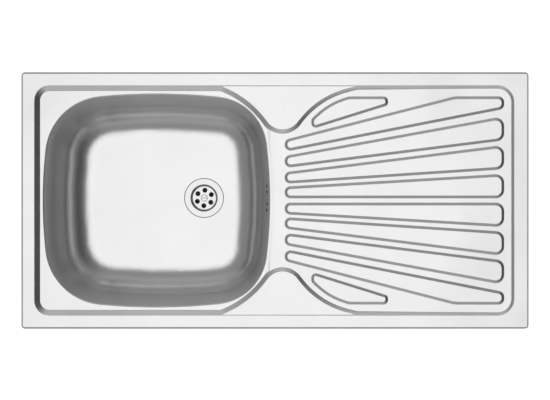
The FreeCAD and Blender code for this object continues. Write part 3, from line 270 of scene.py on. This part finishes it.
def tones(tree, source, socket, low, high, start=0.3, end=0.7):
    """Blends two colours by a texture's value."""
    ramp = tree.nodes.new("ShaderNodeValToRGB")
    ramp.color_ramp.elements[0].position = start
    ramp.color_ramp.elements[1].position = end
    ramp.color_ramp.elements[0].color = (*low, 1)
    ramp.color_ramp.elements[1].color = (*high, 1)
    wire(tree, source, socket, ramp, "Fac")
    return ramp


def spread(tree, source, socket, low, high):
    """Maps a texture's value to a range."""
    made = tree.nodes.new("ShaderNodeMapRange")
    made.inputs["From Min"].default_value = 0.3
    made.inputs["From Max"].default_value = 0.7
    made.inputs["To Min"].default_value = low
    made.inputs["To Max"].default_value = high
    wire(tree, source, socket, made, "Value")
    return made


def bump(tree, shader, source, socket, depth, strength=0.5):
    made = tree.nodes.new("ShaderNodeBump")
    made.inputs["Distance"].default_value = depth
    made.inputs["Strength"].default_value = strength
    wire(tree, source, socket, made, "Height")
    wire(tree, made, "Normal", shader, "Normal")
    return made


def paint_hollow_shade(tree, ramp, shader, reach, closed, clear):
    """Paints shade: lets a colour fall to near black in hollows and crevices, found by ambient
    occlusion.
    """
    hollow = tree.nodes.new("ShaderNodeAmbientOcclusion")
    hollow.samples = OCCLUSION_SAMPLES
    hollow.inputs["Distance"].default_value = reach
    share = tree.nodes.new("ShaderNodeMapRange")
    share.inputs["From Min"].default_value = closed
    share.inputs["From Max"].default_value = clear
    wire(tree, hollow, "AO", share, "Value")
    mix = tree.nodes.new("ShaderNodeMix")
    mix.data_type = "RGBA"
    mix.inputs["A"].default_value = HOLLOW_SHADE_COLOR
    wire(tree, share, "Result", mix, "Factor")
    tree.links.new(ramp.outputs["Color"], mix.inputs["B"])
    wire(tree, mix, "Result", shader, "Base Color")


def shade(color, factor):
    return tuple(min(1.0, c * factor) for c in color)


def satin_steel():
    """The pressed sheet: a fine satin, never quite flat, with painted shade darkening its folded
    edge in place of the dark reflection there.
    """
    finish = settings("sink_finish")
    made, tree, shader = blank("satin_steel")
    shader.inputs["Metallic"].default_value = 1
    place = coordinates(tree)
    clouds = noise(tree, place, 14, 4)
    fine = noise(tree, place, 1400, 2)
    sag = noise(tree, place, 4.5, 1)
    color = tuple(finish.sheet_color)
    ramp = tones(tree, clouds, "Fac", shade(color, 0.98), shade(color, 1.02))
    # painted shade: the dark edge colour is mixed in over the rim's sloped outer edge
    edge = tree.nodes.new("ShaderNodeMix")
    edge.data_type = "RGBA"
    edge.inputs["B"].default_value = (*finish.painted_edge_shade_color, 1)
    tree.links.new(painted_edge_shade_mask(tree, place), edge.inputs["Factor"])
    tree.links.new(ramp.outputs["Color"], edge.inputs["A"])
    wire(tree, edge, "Result", shader, "Base Color")
    gloss = spread(tree, fine, "Fac", finish.sheet_roughness * 0.88, finish.sheet_roughness * 1.12)
    wire(tree, gloss, "Result", shader, "Roughness")
    waves = bump(tree, shader, sag, "Fac", finish.sheet_sag, 1)
    grain = bump(tree, shader, fine, "Fac", 6e-6)
    wire(tree, waves, "Normal", grain, "Normal")
    return made


def painted_edge_shade_mask(tree, place):
    """Where shade is painted on the sheet: 1 on the sloped outer edge of the rim, 0 inside it."""
    low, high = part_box("bowl_and_drainboard")
    half, corner, run = (high - low) / 2, EDGE_CORNER * MM, EDGE_RUN * MM
    steps = [
        ("ABSOLUTE", None),
        ("MULTIPLY", (1, 1, 0)),
        ("SUBTRACT", (half.x - corner, half.y - corner, 0)),
        ("MAXIMUM", (0, 0, 0)),
        ("LENGTH", None),
    ]
    last = place.outputs["Vector"]
    for operation, other in steps:
        step = tree.nodes.new("ShaderNodeVectorMath")
        step.operation = operation
        tree.links.new(last, step.inputs[0])
        if other:
            step.inputs[1].default_value = other
        last = step.outputs["Value" if operation == "LENGTH" else "Vector"]
    reach = tree.nodes.new("ShaderNodeMapRange")
    reach.inputs["From Min"].default_value = corner - run - 0.5 * MM
    reach.inputs["From Max"].default_value = corner - run + 0.3 * MM
    tree.links.new(last, reach.inputs["Value"])
    return reach.outputs["Result"]


def polished_steel():
    """Turned and polished steel, with faint rings round the waste's axis and painted shade in its
    hollows.
    """
    color = tuple(settings("sink_finish").polished_color)
    made, tree, shader = blank("polished_steel")
    shader.inputs["Metallic"].default_value = 1
    centre = middle("strainer_flange")
    place = coordinates(tree, (centre.x, centre.y, 0))
    rings = tree.nodes.new("ShaderNodeTexWave")
    rings.wave_type = "RINGS"
    rings.rings_direction = "Z"
    rings.inputs["Scale"].default_value = 420
    rings.inputs["Distortion"].default_value = 1.5
    wire(tree, place, "Vector", rings, "Vector")
    ramp = tones(tree, rings, "Fac", shade(color, 0.95), shade(color, 1.03), 0.2, 0.8)
    # painted shade: the colour falls to near black in hollows and crevices
    paint_hollow_shade(tree, ramp, shader, 0.003, 0.3, 0.75)
    gloss = spread(tree, rings, "Fac", 0.14, 0.2)
    wire(tree, gloss, "Result", shader, "Roughness")
    bump(tree, shader, rings, "Fac", 4e-6, 0.3)
    return made


def plated_steel():
    """Zinc-plated pressings, with a faint crystal pattern."""
    color = tuple(settings("sink_finish").plated_color)
    made, tree, shader = blank("plated_steel")
    shader.inputs["Metallic"].default_value = 1
    place = coordinates(tree)
    crystals = tree.nodes.new("ShaderNodeTexVoronoi")
    crystals.inputs["Scale"].default_value = 420
    wire(tree, place, "Vector", crystals, "Vector")
    clouds = noise(tree, place, 90, 4)
    ramp = tones(tree, crystals, "Distance", shade(color, 1.08), shade(color, 0.86), 0.1, 0.9)
    wire(tree, ramp, "Color", shader, "Base Color")
    gloss = spread(tree, clouds, "Fac", 0.28, 0.46)
    wire(tree, gloss, "Result", shader, "Roughness")
    bump(tree, shader, clouds, "Fac", 1.2e-5)
    return made


def brass():
    """Turned brass with a fine grain, faint cloudiness and uneven gloss."""
    color = (0.78, 0.58, 0.26)
    made, tree, shader = blank("turned_brass")
    shader.inputs["Metallic"].default_value = 1
    place = coordinates(tree)
    clouds = noise(tree, place, 14, 4)
    fine = noise(tree, place, 2200, 2)
    ramp = tones(tree, clouds, "Fac", shade(color, 0.94), shade(color, 1.06))
    wire(tree, ramp, "Color", shader, "Base Color")
    gloss = spread(tree, fine, "Fac", 0.264, 0.336)
    wire(tree, gloss, "Result", shader, "Roughness")
    bump(tree, shader, fine, "Fac", 2e-5)
    return made


def moulded(name, field, roughness):
    """A moulded plastic: faint flow clouds, a fine spark-eroded texture, and painted shade that
    darkens it in hollows and crevices.
    """
    color = tuple(getattr(settings("sink_finish"), field))
    made, tree, shader = blank(name)
    place = coordinates(tree)
    clouds = noise(tree, place, 28, 3)
    fine = noise(tree, place, 2400, 2)
    ramp = tones(tree, clouds, "Fac", shade(color, 0.965), shade(color, 1.02))
    # painted shade: the colour falls to near black in hollows and crevices
    paint_hollow_shade(tree, ramp, shader, 0.05, 0.45, 0.85)
    gloss = spread(tree, fine, "Fac", roughness * 0.85, roughness * 1.15)
    wire(tree, gloss, "Result", shader, "Roughness")
    bump(tree, shader, fine, "Fac", 2.5e-5)
    return made


def rubber():
    color = tuple(settings("sink_finish").rubber_color)
    made, tree, shader = blank("black_rubber")
    place = coordinates(tree)
    dust = noise(tree, place, 160, 5, 0.65)
    fine = noise(tree, place, 1800, 2)
    ramp = tones(tree, dust, "Fac", shade(color, 0.8), shade(color, 1.9))
    wire(tree, ramp, "Color", shader, "Base Color")
    gloss = spread(tree, dust, "Fac", 0.55, 0.75)
    wire(tree, gloss, "Result", shader, "Roughness")
    bump(tree, shader, fine, "Fac", 4e-5)
    return made


def foam():
    """Closed-cell foam strip."""
    made, tree, shader = blank("grey_foam")
    place = coordinates(tree)
    cells = tree.nodes.new("ShaderNodeTexVoronoi")
    cells.inputs["Scale"].default_value = 1500
    wire(tree, place, "Vector", cells, "Vector")
    ramp = tones(tree, cells, "Distance", (0.1, 0.1, 0.105), (0.24, 0.24, 0.25), 0.0, 0.8)
    wire(tree, ramp, "Color", shader, "Base Color")
    gloss = spread(tree, cells, "Distance", 0.8, 0.95)
    wire(tree, gloss, "Result", shader, "Roughness")
    bump(tree, shader, cells, "Distance", 1.5e-4, 0.7)
    return made


def bitumen():
    """The damping pad: pressed bitumen with a coarse skin and pale specks."""
    made, tree, shader = blank("bitumen_pad")
    place = coordinates(tree)
    skin = noise(tree, place, 260, 6, 0.7)
    specks = tree.nodes.new("ShaderNodeTexVoronoi")
    specks.inputs["Scale"].default_value = 700
    wire(tree, place, "Vector", specks, "Vector")
    ramp = tones(tree, specks, "Distance", (0.16, 0.16, 0.165), (0.04, 0.04, 0.043), 0.02, 0.2)
    wire(tree, ramp, "Color", shader, "Base Color")
    gloss = spread(tree, skin, "Fac", 0.45, 0.8)
    wire(tree, gloss, "Result", shader, "Roughness")
    bump(tree, shader, skin, "Fac", 4e-4, 0.8)
    return made


MAKERS = {
    "stainless_sheet": satin_steel,
    "polished_steel": polished_steel,
    "plated_steel": plated_steel,
    "brass": brass,
    "white_plastic": lambda: moulded("white_plastic", "plastic_color", 0.42),
    "grey_plastic": lambda: moulded("grey_plastic", "nut_color", 0.5),
    "rubber": rubber,
    "foam_strip": foam,
    "damping_pad": bitumen,
}
made_materials = {}


def look(slot):
    """The material of one of the record's slots."""
    if slot not in made_materials:
        made_materials[slot] = MAKERS[slot]()
    return made_materials[slot]


SLOT_OF = {row["node"]: row["material_slot"] for row in frame["record"]["subparts"]}


# ------------------------------------------------------------------ mesh tools


def copy_of(node):
    """A copy of a CAD node's mesh with its loose triangles merged."""
    bm = bmesh.new()
    bm.from_mesh(frame["nodes"][node].data)
    bmesh.ops.remove_doubles(bm, verts=bm.verts, dist=WELD)
    return bm


def flattened(bm):
    """Joins the triangles of each flat area, but keeps the edges that tie holes to the outline."""
    limit = math.radians(FLAT_LIMIT)
    flat = {e for e in bm.edges if e.is_manifold and e.calc_face_angle(0) < limit}
    seen, spare = set(), set()
    for start in bm.faces:
        if start in seen:
            continue
        seen.add(start)
        area = [start]
        for face in area:
            for other in (f for e in face.edges if e in flat for f in e.link_faces):
                if other not in seen:
                    seen.add(other)
                    area.append(other)
        edges = {e for face in area for e in face.edges}
        loop = {}
        for edge in edges - flat:
            first, second = (loop.setdefault(v, {v}) for v in edge.verts)
            if first is not second:
                first |= second
                loop.update((v, first) for v in second)
        spare |= {e for e in edges & flat if loop.get(e.verts[0]) is loop.get(e.verts[1])}
    bmesh.ops.dissolve_edges(bm, edges=list(spare), use_verts=False, use_face_split=False)
    return bm


def soften(bm, radius):
    """Rounds every corner that is sharp enough."""
    limit = math.radians(ROUNDED_CORNER)
    sharp = [e for e in bm.edges if e.is_manifold and e.calc_face_angle(0) > limit]
    bmesh.ops.bevel(
        bm, geom=sharp, offset=radius, offset_type="OFFSET", segments=2, profile=0.5,
        affect="EDGES", material=-1, clamp_overlap=True, miter_outer="ARC",
    )
    bmesh.ops.remove_doubles(bm, verts=bm.verts, dist=WELD)
    return bm


def piece(bm, name, node, crease=PIECE_CREASE):
    """Turns a bmesh into a finished piece that rides on its CAD node's body and stands for it."""
    slot = SLOT_OF[node]
    data = bpy.data.meshes.new(name)
    bm.to_mesh(data)
    bm.free()
    data.shade_smooth()
    data.set_sharp_from_angle(angle=math.radians(crease))
    made = bpy.data.objects.new(name, data)
    bpy.context.scene.collection.objects.link(made)
    data.materials.append(look(slot))
    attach(made, body_of(node))
    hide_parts(node)
    even = made.modifiers.new("even_normals", "WEIGHTED_NORMAL")
    even.keep_sharp = True
    return made


def body_of(node):
    return frame["nodes"][node]["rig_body"]


def rounded_copy(node, radius, extra=None):
    """A CAD piece with rounded edges and, if given, added detail."""
    bm = soften(flattened(copy_of(node)), radius)
    if extra:
        extra(bm)
    return piece(bm, node + "_finished", node)


def narrowed(bm, centre, low, high, wide, slim):
    """Draws the upright cylinder wall between two heights in to a thread's root."""
    for vert in bm.verts:
        out = Vector((vert.co.x - centre.x, vert.co.y - centre.y, 0))
        if low < vert.co.z < high and abs(out.length - wide) < 0.1 * MM:
            vert.co -= out * (1 - slim / wide)


def thread(bm, centre, low, high, crest, depth, pitch, steps):
    """A helical ridge round a vertical axis, spun from one tooth."""
    root = crest - depth
    turns = int((high - low) / pitch) - 1
    start = Vector((centre.x, centre.y, low))
    corners = [(root - 0.05 * MM, 0), (crest, 0.4), (crest, 0.6), (root - 0.05 * MM, 1)]
    verts = [bm.verts.new(start + Vector((r, 0, share * pitch))) for r, share in corners]
    edges = [bm.edges.new(pair) for pair in zip(verts, verts[1:])]
    bmesh.ops.spin(
        bm, geom=verts + edges, cent=start, axis=(0, 0, 1), dvec=(0, 0, pitch / steps),
        angle=2 * math.pi * turns, steps=steps * turns, use_merge=False,
    )


def middle(node):
    low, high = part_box(node)
    return (low + high) / 2


# ------------------------------------------------------------------ operators


class SINK_OT_pressing(bpy.types.Operator):
    """Finish the pressed sheet with its bowl and drainboard"""

    bl_idname = "sink.pressing"
    bl_label = "Pressed sheet"

    def execute(self, context):
        node = "bowl_and_drainboard"
        bm = copy_of(node)
        self.close_seat(bm)
        self.crisp_rim(piece(bm, "pressed_sheet", node, SHEET_CREASE))
        return {"FINISHED"}

    def crisp_rim(self, made):
        """Keeps the bend of the turned-down edge out of the shading of the flat rim."""
        low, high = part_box("bowl_and_drainboard")
        bm = bmesh.new()
        bm.from_mesh(made.data)
        for edge in bm.edges:
            near = min(
                min(v.co.x - low.x, high.x - v.co.x, v.co.y - low.y, high.y - v.co.y)
                for v in edge.verts
            )
            up = sorted(f.normal.z for f in edge.link_faces)
            if near < LIP_ZONE * MM and len(up) == 2 and up[0] < 0.999 and up[1] > 0.9999:
                edge.smooth = False
        bm.to_mesh(made.data)
        bm.free()

    def close_seat(self, bm):
        """Brings the rim of the waste's seat in to the flange, so that only a hairline shows."""
        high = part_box("strainer_flange")[1]
        centre = middle("strainer_flange")
        reach = [(r * MM, to * MM) for r, to in SEAT_RIM]
        for vert in bm.verts:
            out = Vector((vert.co.x - centre.x, vert.co.y - centre.y, 0))
            far = out.length
            if not reach[0][0] < far < reach[-1][0] or abs(vert.co.z - high.z) > SEAT_BAND * MM:
                continue
            for (start, first), (end, last) in zip(reach, reach[1:]):
                if start < far <= end:
                    moved = first + (last - first) * (far - start) / (end - start)
                    vert.co += out * (moved / far - 1)
                    break


class SINK_OT_trim(bpy.types.Operator):
    """Finish the rim seal, the damping pad and the earth tag"""

    bl_idname = "sink.trim"
    bl_label = "Seal, pad and tag"

    def execute(self, context):
        sizes = settings("sink_sizes")
        rounded_copy("rim_seal", sizes.soft_edge)
        rounded_copy("sound_pad", sizes.soft_edge)
        rounded_copy("earth_tag", sizes.sheet_edge)
        return {"FINISHED"}


class SINK_OT_waste(bpy.types.Operator):
    """Finish the strainer, its screw and the waste body"""

    bl_idname = "sink.waste"
    bl_label = "Waste"

    def execute(self, context):
        sizes = settings("sink_sizes")
        rounded_copy("strainer_flange", sizes.sheet_edge)
        rounded_copy("waste_screw", sizes.sheet_edge)
        rounded_copy("waste_body", sizes.moulded_edge, self.outlet)
        for node in ("upper_waste_gasket", "lower_waste_gasket"):
            rounded_copy(node, sizes.soft_edge * 0.6)
        rounded_copy("insert_nut", sizes.sheet_edge)
        return {"FINISHED"}

    def outlet(self, bm):
        """The outlet's moulded thread, round the strainer's axis."""
        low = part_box("waste_body")[0]
        centre = middle("strainer_flange")
        crest, depth = OUTLET_CREST * MM, OUTLET_DEPTH * MM
        pitch = settings("sink_sizes").outlet_pitch
        start, end = low.z + THREAD_RUN_OUT * MM, low.z + OUTLET_THREAD_TOP * MM
        narrowed(bm, centre, start, end, crest, crest - depth)
        thread(bm, centre, start + THREAD_RUN_OUT * MM, end, crest, depth, pitch, 72)


class SINK_OT_overflow(bpy.types.Operator):
    """Finish the overflow's hopper, pipe, nuts, washers and screw"""

    bl_idname = "sink.overflow"
    bl_label = "Overflow"

    def execute(self, context):
        sizes = settings("sink_sizes")
        for node in ("overflow_hopper", "overflow_pipe"):
            rounded_copy(node, sizes.moulded_edge)
        for nut, axis in (("upper_pipe_nut", 2), ("lower_pipe_nut", 0)):
            rounded_copy(
                nut, sizes.moulded_edge, lambda bm, nut=nut, axis=axis: self.gripped(bm, nut, axis)
            )
        for node in ("overflow_gasket", "upper_pipe_washer", "lower_pipe_washer"):
            rounded_copy(node, sizes.soft_edge)
        for node in ("overflow_screw", "overflow_insert"):
            rounded_copy(node, sizes.sheet_edge)
        return {"FINISHED"}

    def gripped(self, bm, node, axis):
        """Grip ribs on the faces of a union nut whose bore runs along an axis."""
        low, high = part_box(node)
        centre = middle(node)
        half = (high[axis] - low[axis]) / 2 - GRIP_INSET * MM
        turn = Matrix.Identity(4) if axis == 2 else Matrix.Rotation(math.pi / 2, 4, "Y")
        size = Matrix.Diagonal((GRIP_DEPTH * MM, GRIP_WIDTH * MM, 2 * half, 1))
        grips = settings("sink_sizes").grips
        for number in range(grips):
            angle = 2 * math.pi * (number + 0.5) / grips
            place = Matrix.Translation(centre) @ turn @ Matrix.Rotation(angle, 4, "Z")
            place = place @ Matrix.Translation((GRIP_RADIUS * MM, 0, 0))
            rib = bmesh.ops.create_cube(bm, size=1, matrix=place @ size)
            edges = list({e for v in rib["verts"] for e in v.link_edges})
            bmesh.ops.bevel(
                bm, geom=edges, offset=0.3 * MM, segments=2, profile=0.5, affect="EDGES",
                material=-1,
            )


class SINK_OT_clamps(bpy.types.Operator):
    """Finish the eight worktop clamps"""

    bl_idname = "sink.clamps"
    bl_label = "Worktop clamps"

    def execute(self, context):
        sizes = settings("sink_sizes")
        rounded_copy("clamp_brackets", sizes.sheet_edge, self.welds)
        rounded_copy("clamp_rivets", sizes.rivet_dome)
        for number in CLAMPS:
            rounded_copy(f"clamp_guide_{number}", sizes.sheet_edge)
            rounded_copy(f"clamp_claw_{number}", sizes.sheet_edge)
            screw = f"clamp_screw_{number}"
            rounded_copy(screw, sizes.sheet_edge, lambda bm, node=screw: self.threaded(bm, node))
        return {"FINISHED"}

    def welds(self, bm):
        """A pressed weld mark under each foot of each bracket."""
        mark = WELD_RADIUS * MM
        for number in CLAMPS:
            centre = middle(f"clamp_screw_{number}")
            along = Vector((1, 0, 0)) if abs(centre.y) > 0.1 else Vector((0, 1, 0))
            for sign in (1, -1):
                at = centre + along * (sign * WELD_REACH * MM)
                bmesh.ops.create_cone(
                    bm, cap_ends=True, cap_tris=False, segments=24,
                    radius1=mark * 0.7, radius2=mark, depth=WELD_THICKNESS * MM,
                    matrix=Matrix.Translation((at.x, at.y, WELD_HEIGHT * MM)),
                )

    def threaded(self, bm, node):
        """The clamp screw's thread, from its collar to its tip."""
        low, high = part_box(node)
        centre = middle(node)
        crest, depth = SCREW_CREST * MM, SCREW_DEPTH * MM
        pitch = settings("sink_sizes").screw_pitch
        start, end = low.z + SCREW_PLAIN * MM, high.z - THREAD_RUN_OUT * MM
        narrowed(bm, centre, start, end + 0.5 * MM, crest, crest - depth)
        thread(bm, centre, start + 0.2 * MM, end, crest, depth, pitch, 24)


class SINK_OT_stage(bpy.types.Operator):
    """Set the camera, the light and the floor"""

    bl_idname = "sink.stage"
    bl_label = "Studio"

    def execute(self, context):
        stage = settings("sink_stage")
        scene = context.scene
        scene.view_settings.view_transform = "Standard"
        data = bpy.data.cameras.new("photo_camera")
        data.lens = stage.lens
        camera = bpy.data.objects.new("photo_camera", data)
        camera.location = (0, 0.0008, stage.camera_height)
        scene.collection.objects.link(camera)
        scene.camera = camera
        self.floor(stage)
        self.sky(stage)
        return {"FINISHED"}

    def floor(self, stage):
        """A pale floor that glows for camera and mirror rays, but not below the waste, where its
        darker disc is a painted shadow seen through the outlet.
        """
        bm = bmesh.new()
        bmesh.ops.create_grid(bm, x_segments=1, y_segments=1, size=4)
        bmesh.ops.translate(bm, verts=bm.verts, vec=(0, 0, -stage.floor_drop))
        data = bpy.data.meshes.new("floor")
        bm.to_mesh(data)
        bm.free()
        floor = bpy.data.objects.new("floor", data)
        bpy.context.scene.collection.objects.link(floor)
        made, tree, shader = blank("pale_floor")
        grain = noise(tree, coordinates(tree), 40, 4)
        ramp = tones(tree, grain, "Fac", (0.8, 0.8, 0.8), (0.83, 0.83, 0.83))
        wire(tree, ramp, "Color", shader, "Base Color")
        shader.inputs["Roughness"].default_value = 0.9
        shader.inputs["Emission Color"].default_value = (1, 1, 1, 1)
        rays = tree.nodes.new("ShaderNodeLightPath")
        seen = tree.nodes.new("ShaderNodeMath")
        seen.operation = "MAXIMUM"
        wire(tree, rays, "Is Glossy Ray", seen, 0)
        wire(tree, rays, "Is Transmission Ray", seen, 1)
        either = tree.nodes.new("ShaderNodeMath")
        either.operation = "MAXIMUM"
        wire(tree, rays, "Is Camera Ray", either, 0)
        wire(tree, seen, "Value", either, 1)
        lift = tree.nodes.new("ShaderNodeMath")
        lift.operation = "MULTIPLY"
        wire(tree, either, "Value", lift, 0)
        # painted shadow: the glow is taken away within a disc below the waste's outlet, so the
        # outlet reads dark
        centre = middle("strainer_flange")
        place = coordinates(tree, (centre.x, centre.y, -stage.floor_drop))
        away = tree.nodes.new("ShaderNodeVectorMath")
        away.operation = "LENGTH"
        wire(tree, place, "Vector", away, 0)
        glow_clear_of_painted_shadow = tree.nodes.new("ShaderNodeMapRange")
        glow_clear_of_painted_shadow.inputs["From Min"].default_value = 0.022
        glow_clear_of_painted_shadow.inputs["From Max"].default_value = 0.026
        glow_clear_of_painted_shadow.inputs["To Max"].default_value = 0.6
        wire(tree, away, "Value", glow_clear_of_painted_shadow, "Value")
        wire(tree, glow_clear_of_painted_shadow, "Result", lift, 1)
        wire(tree, lift, "Value", shader, "Emission Strength")
        data.materials.append(made)

    def sky(self, stage):
        """Bright overhead zone, dim sides, even light for matt surfaces, white for the camera."""
        world = bpy.data.worlds.new("studio")
        bpy.context.scene.world = world
        world.use_nodes = True
        tree = world.node_tree
        shader = next(n for n in tree.nodes if n.type == "BACKGROUND")
        where = tree.nodes.new("ShaderNodeTexCoord")
        split = tree.nodes.new("ShaderNodeSeparateXYZ")
        wire(tree, where, "Generated", split, "Vector")
        ramp = tree.nodes.new("ShaderNodeValToRGB")
        high = stage.zenith
        stops = [(0.0, 0.2), (0.1, 0), (0.885, 0), (0.943, high), (1.0, high)]
        elements = ramp.color_ramp.elements
        while len(elements) < len(stops):
            elements.new(0.5)
        for element, (position, level) in zip(elements, stops):
            element.position = position
            element.color = (level, level, level, 1)
        wire(tree, split, "Z", ramp, "Fac")
        across = tree.nodes.new("ShaderNodeMath")
        across.operation = "POWER"
        across.inputs[1].default_value = 4
        sideways = tree.nodes.new("ShaderNodeMath")
        sideways.operation = "ABSOLUTE"
        wire(tree, split, "Y", sideways, 0)
        wire(tree, sideways, "Value", across, 0)
        last = None
        for source, socket, slope in ((split, "X", -0.72), (across, "Value", 2.9)):
            step = tree.nodes.new("ShaderNodeMath")
            step.operation = "MULTIPLY_ADD"
            step.inputs[1].default_value = slope * stage.horizon
            step.inputs[2].default_value = stage.horizon
            wire(tree, source, socket, step, 0)
            if last:
                wire(tree, last, "Value", step, 2)
            last = step
        total = tree.nodes.new("ShaderNodeMix")
        total.data_type = "RGBA"
        total.blend_type = "ADD"
        total.inputs["Factor"].default_value = 1
        tree.links.new(ramp.outputs["Color"], total.inputs["A"])
        tree.links.new(last.outputs["Value"], total.inputs["B"])
        rays = tree.nodes.new("ShaderNodeLightPath")
        mix = tree.nodes.new("ShaderNodeMix")
        mix.data_type = "RGBA"
        wire(tree, rays, "Is Camera Ray", mix, "Factor")
        mix.inputs["B"].default_value = (1, 1, 1, 1)
        plain = tree.nodes.new("ShaderNodeMix")
        plain.data_type = "RGBA"
        plain.inputs["B"].default_value = (stage.plain, stage.plain, stage.plain, 1)
        wire(tree, rays, "Is Diffuse Ray", plain, "Factor")
        tree.links.new(total.outputs["Result"], plain.inputs["A"])
        tree.links.new(plain.outputs["Result"], mix.inputs["A"])
        tree.links.new(mix.outputs["Result"], shader.inputs["Color"])


class SINK_PT_panel(bpy.types.Panel):
    """Sizes, colours and steps of the sink"""

    bl_idname = "SINK_PT_panel"
    bl_label = "Inset sink"
    bl_space_type = "VIEW_3D"
    bl_region_type = "UI"
    bl_category = PANEL_TAB

    def draw(self, context):
        for step in STEPS:
            self.layout.operator(step.bl_idname)
        for name, group in SETTINGS.items():
            box = self.layout.box()
            box.label(text=group.__doc__)
            for field in group.__annotations__:
                box.prop(getattr(context.scene, name), field)


STEPS = [
    SINK_OT_stage, SINK_OT_pressing, SINK_OT_trim, SINK_OT_waste, SINK_OT_overflow, SINK_OT_clamps,
]
CLASSES = list(SETTINGS.values()) + STEPS + [SINK_PT_panel]


def register():
    for item in CLASSES:
        bpy.utils.register_class(item)
    for name, group in SETTINGS.items():
        setattr(bpy.types.Scene, name, PointerProperty(type=group))


def unregister():
    for name in SETTINGS:
        delattr(bpy.types.Scene, name)
    for item in reversed(CLASSES):
        bpy.utils.unregister_class(item)


def main():
    register()
    for step in STEPS:
        category, name = step.bl_idname.split(".")
        getattr(getattr(bpy.ops, category), name)()


if __name__ == "__main__":
    main()
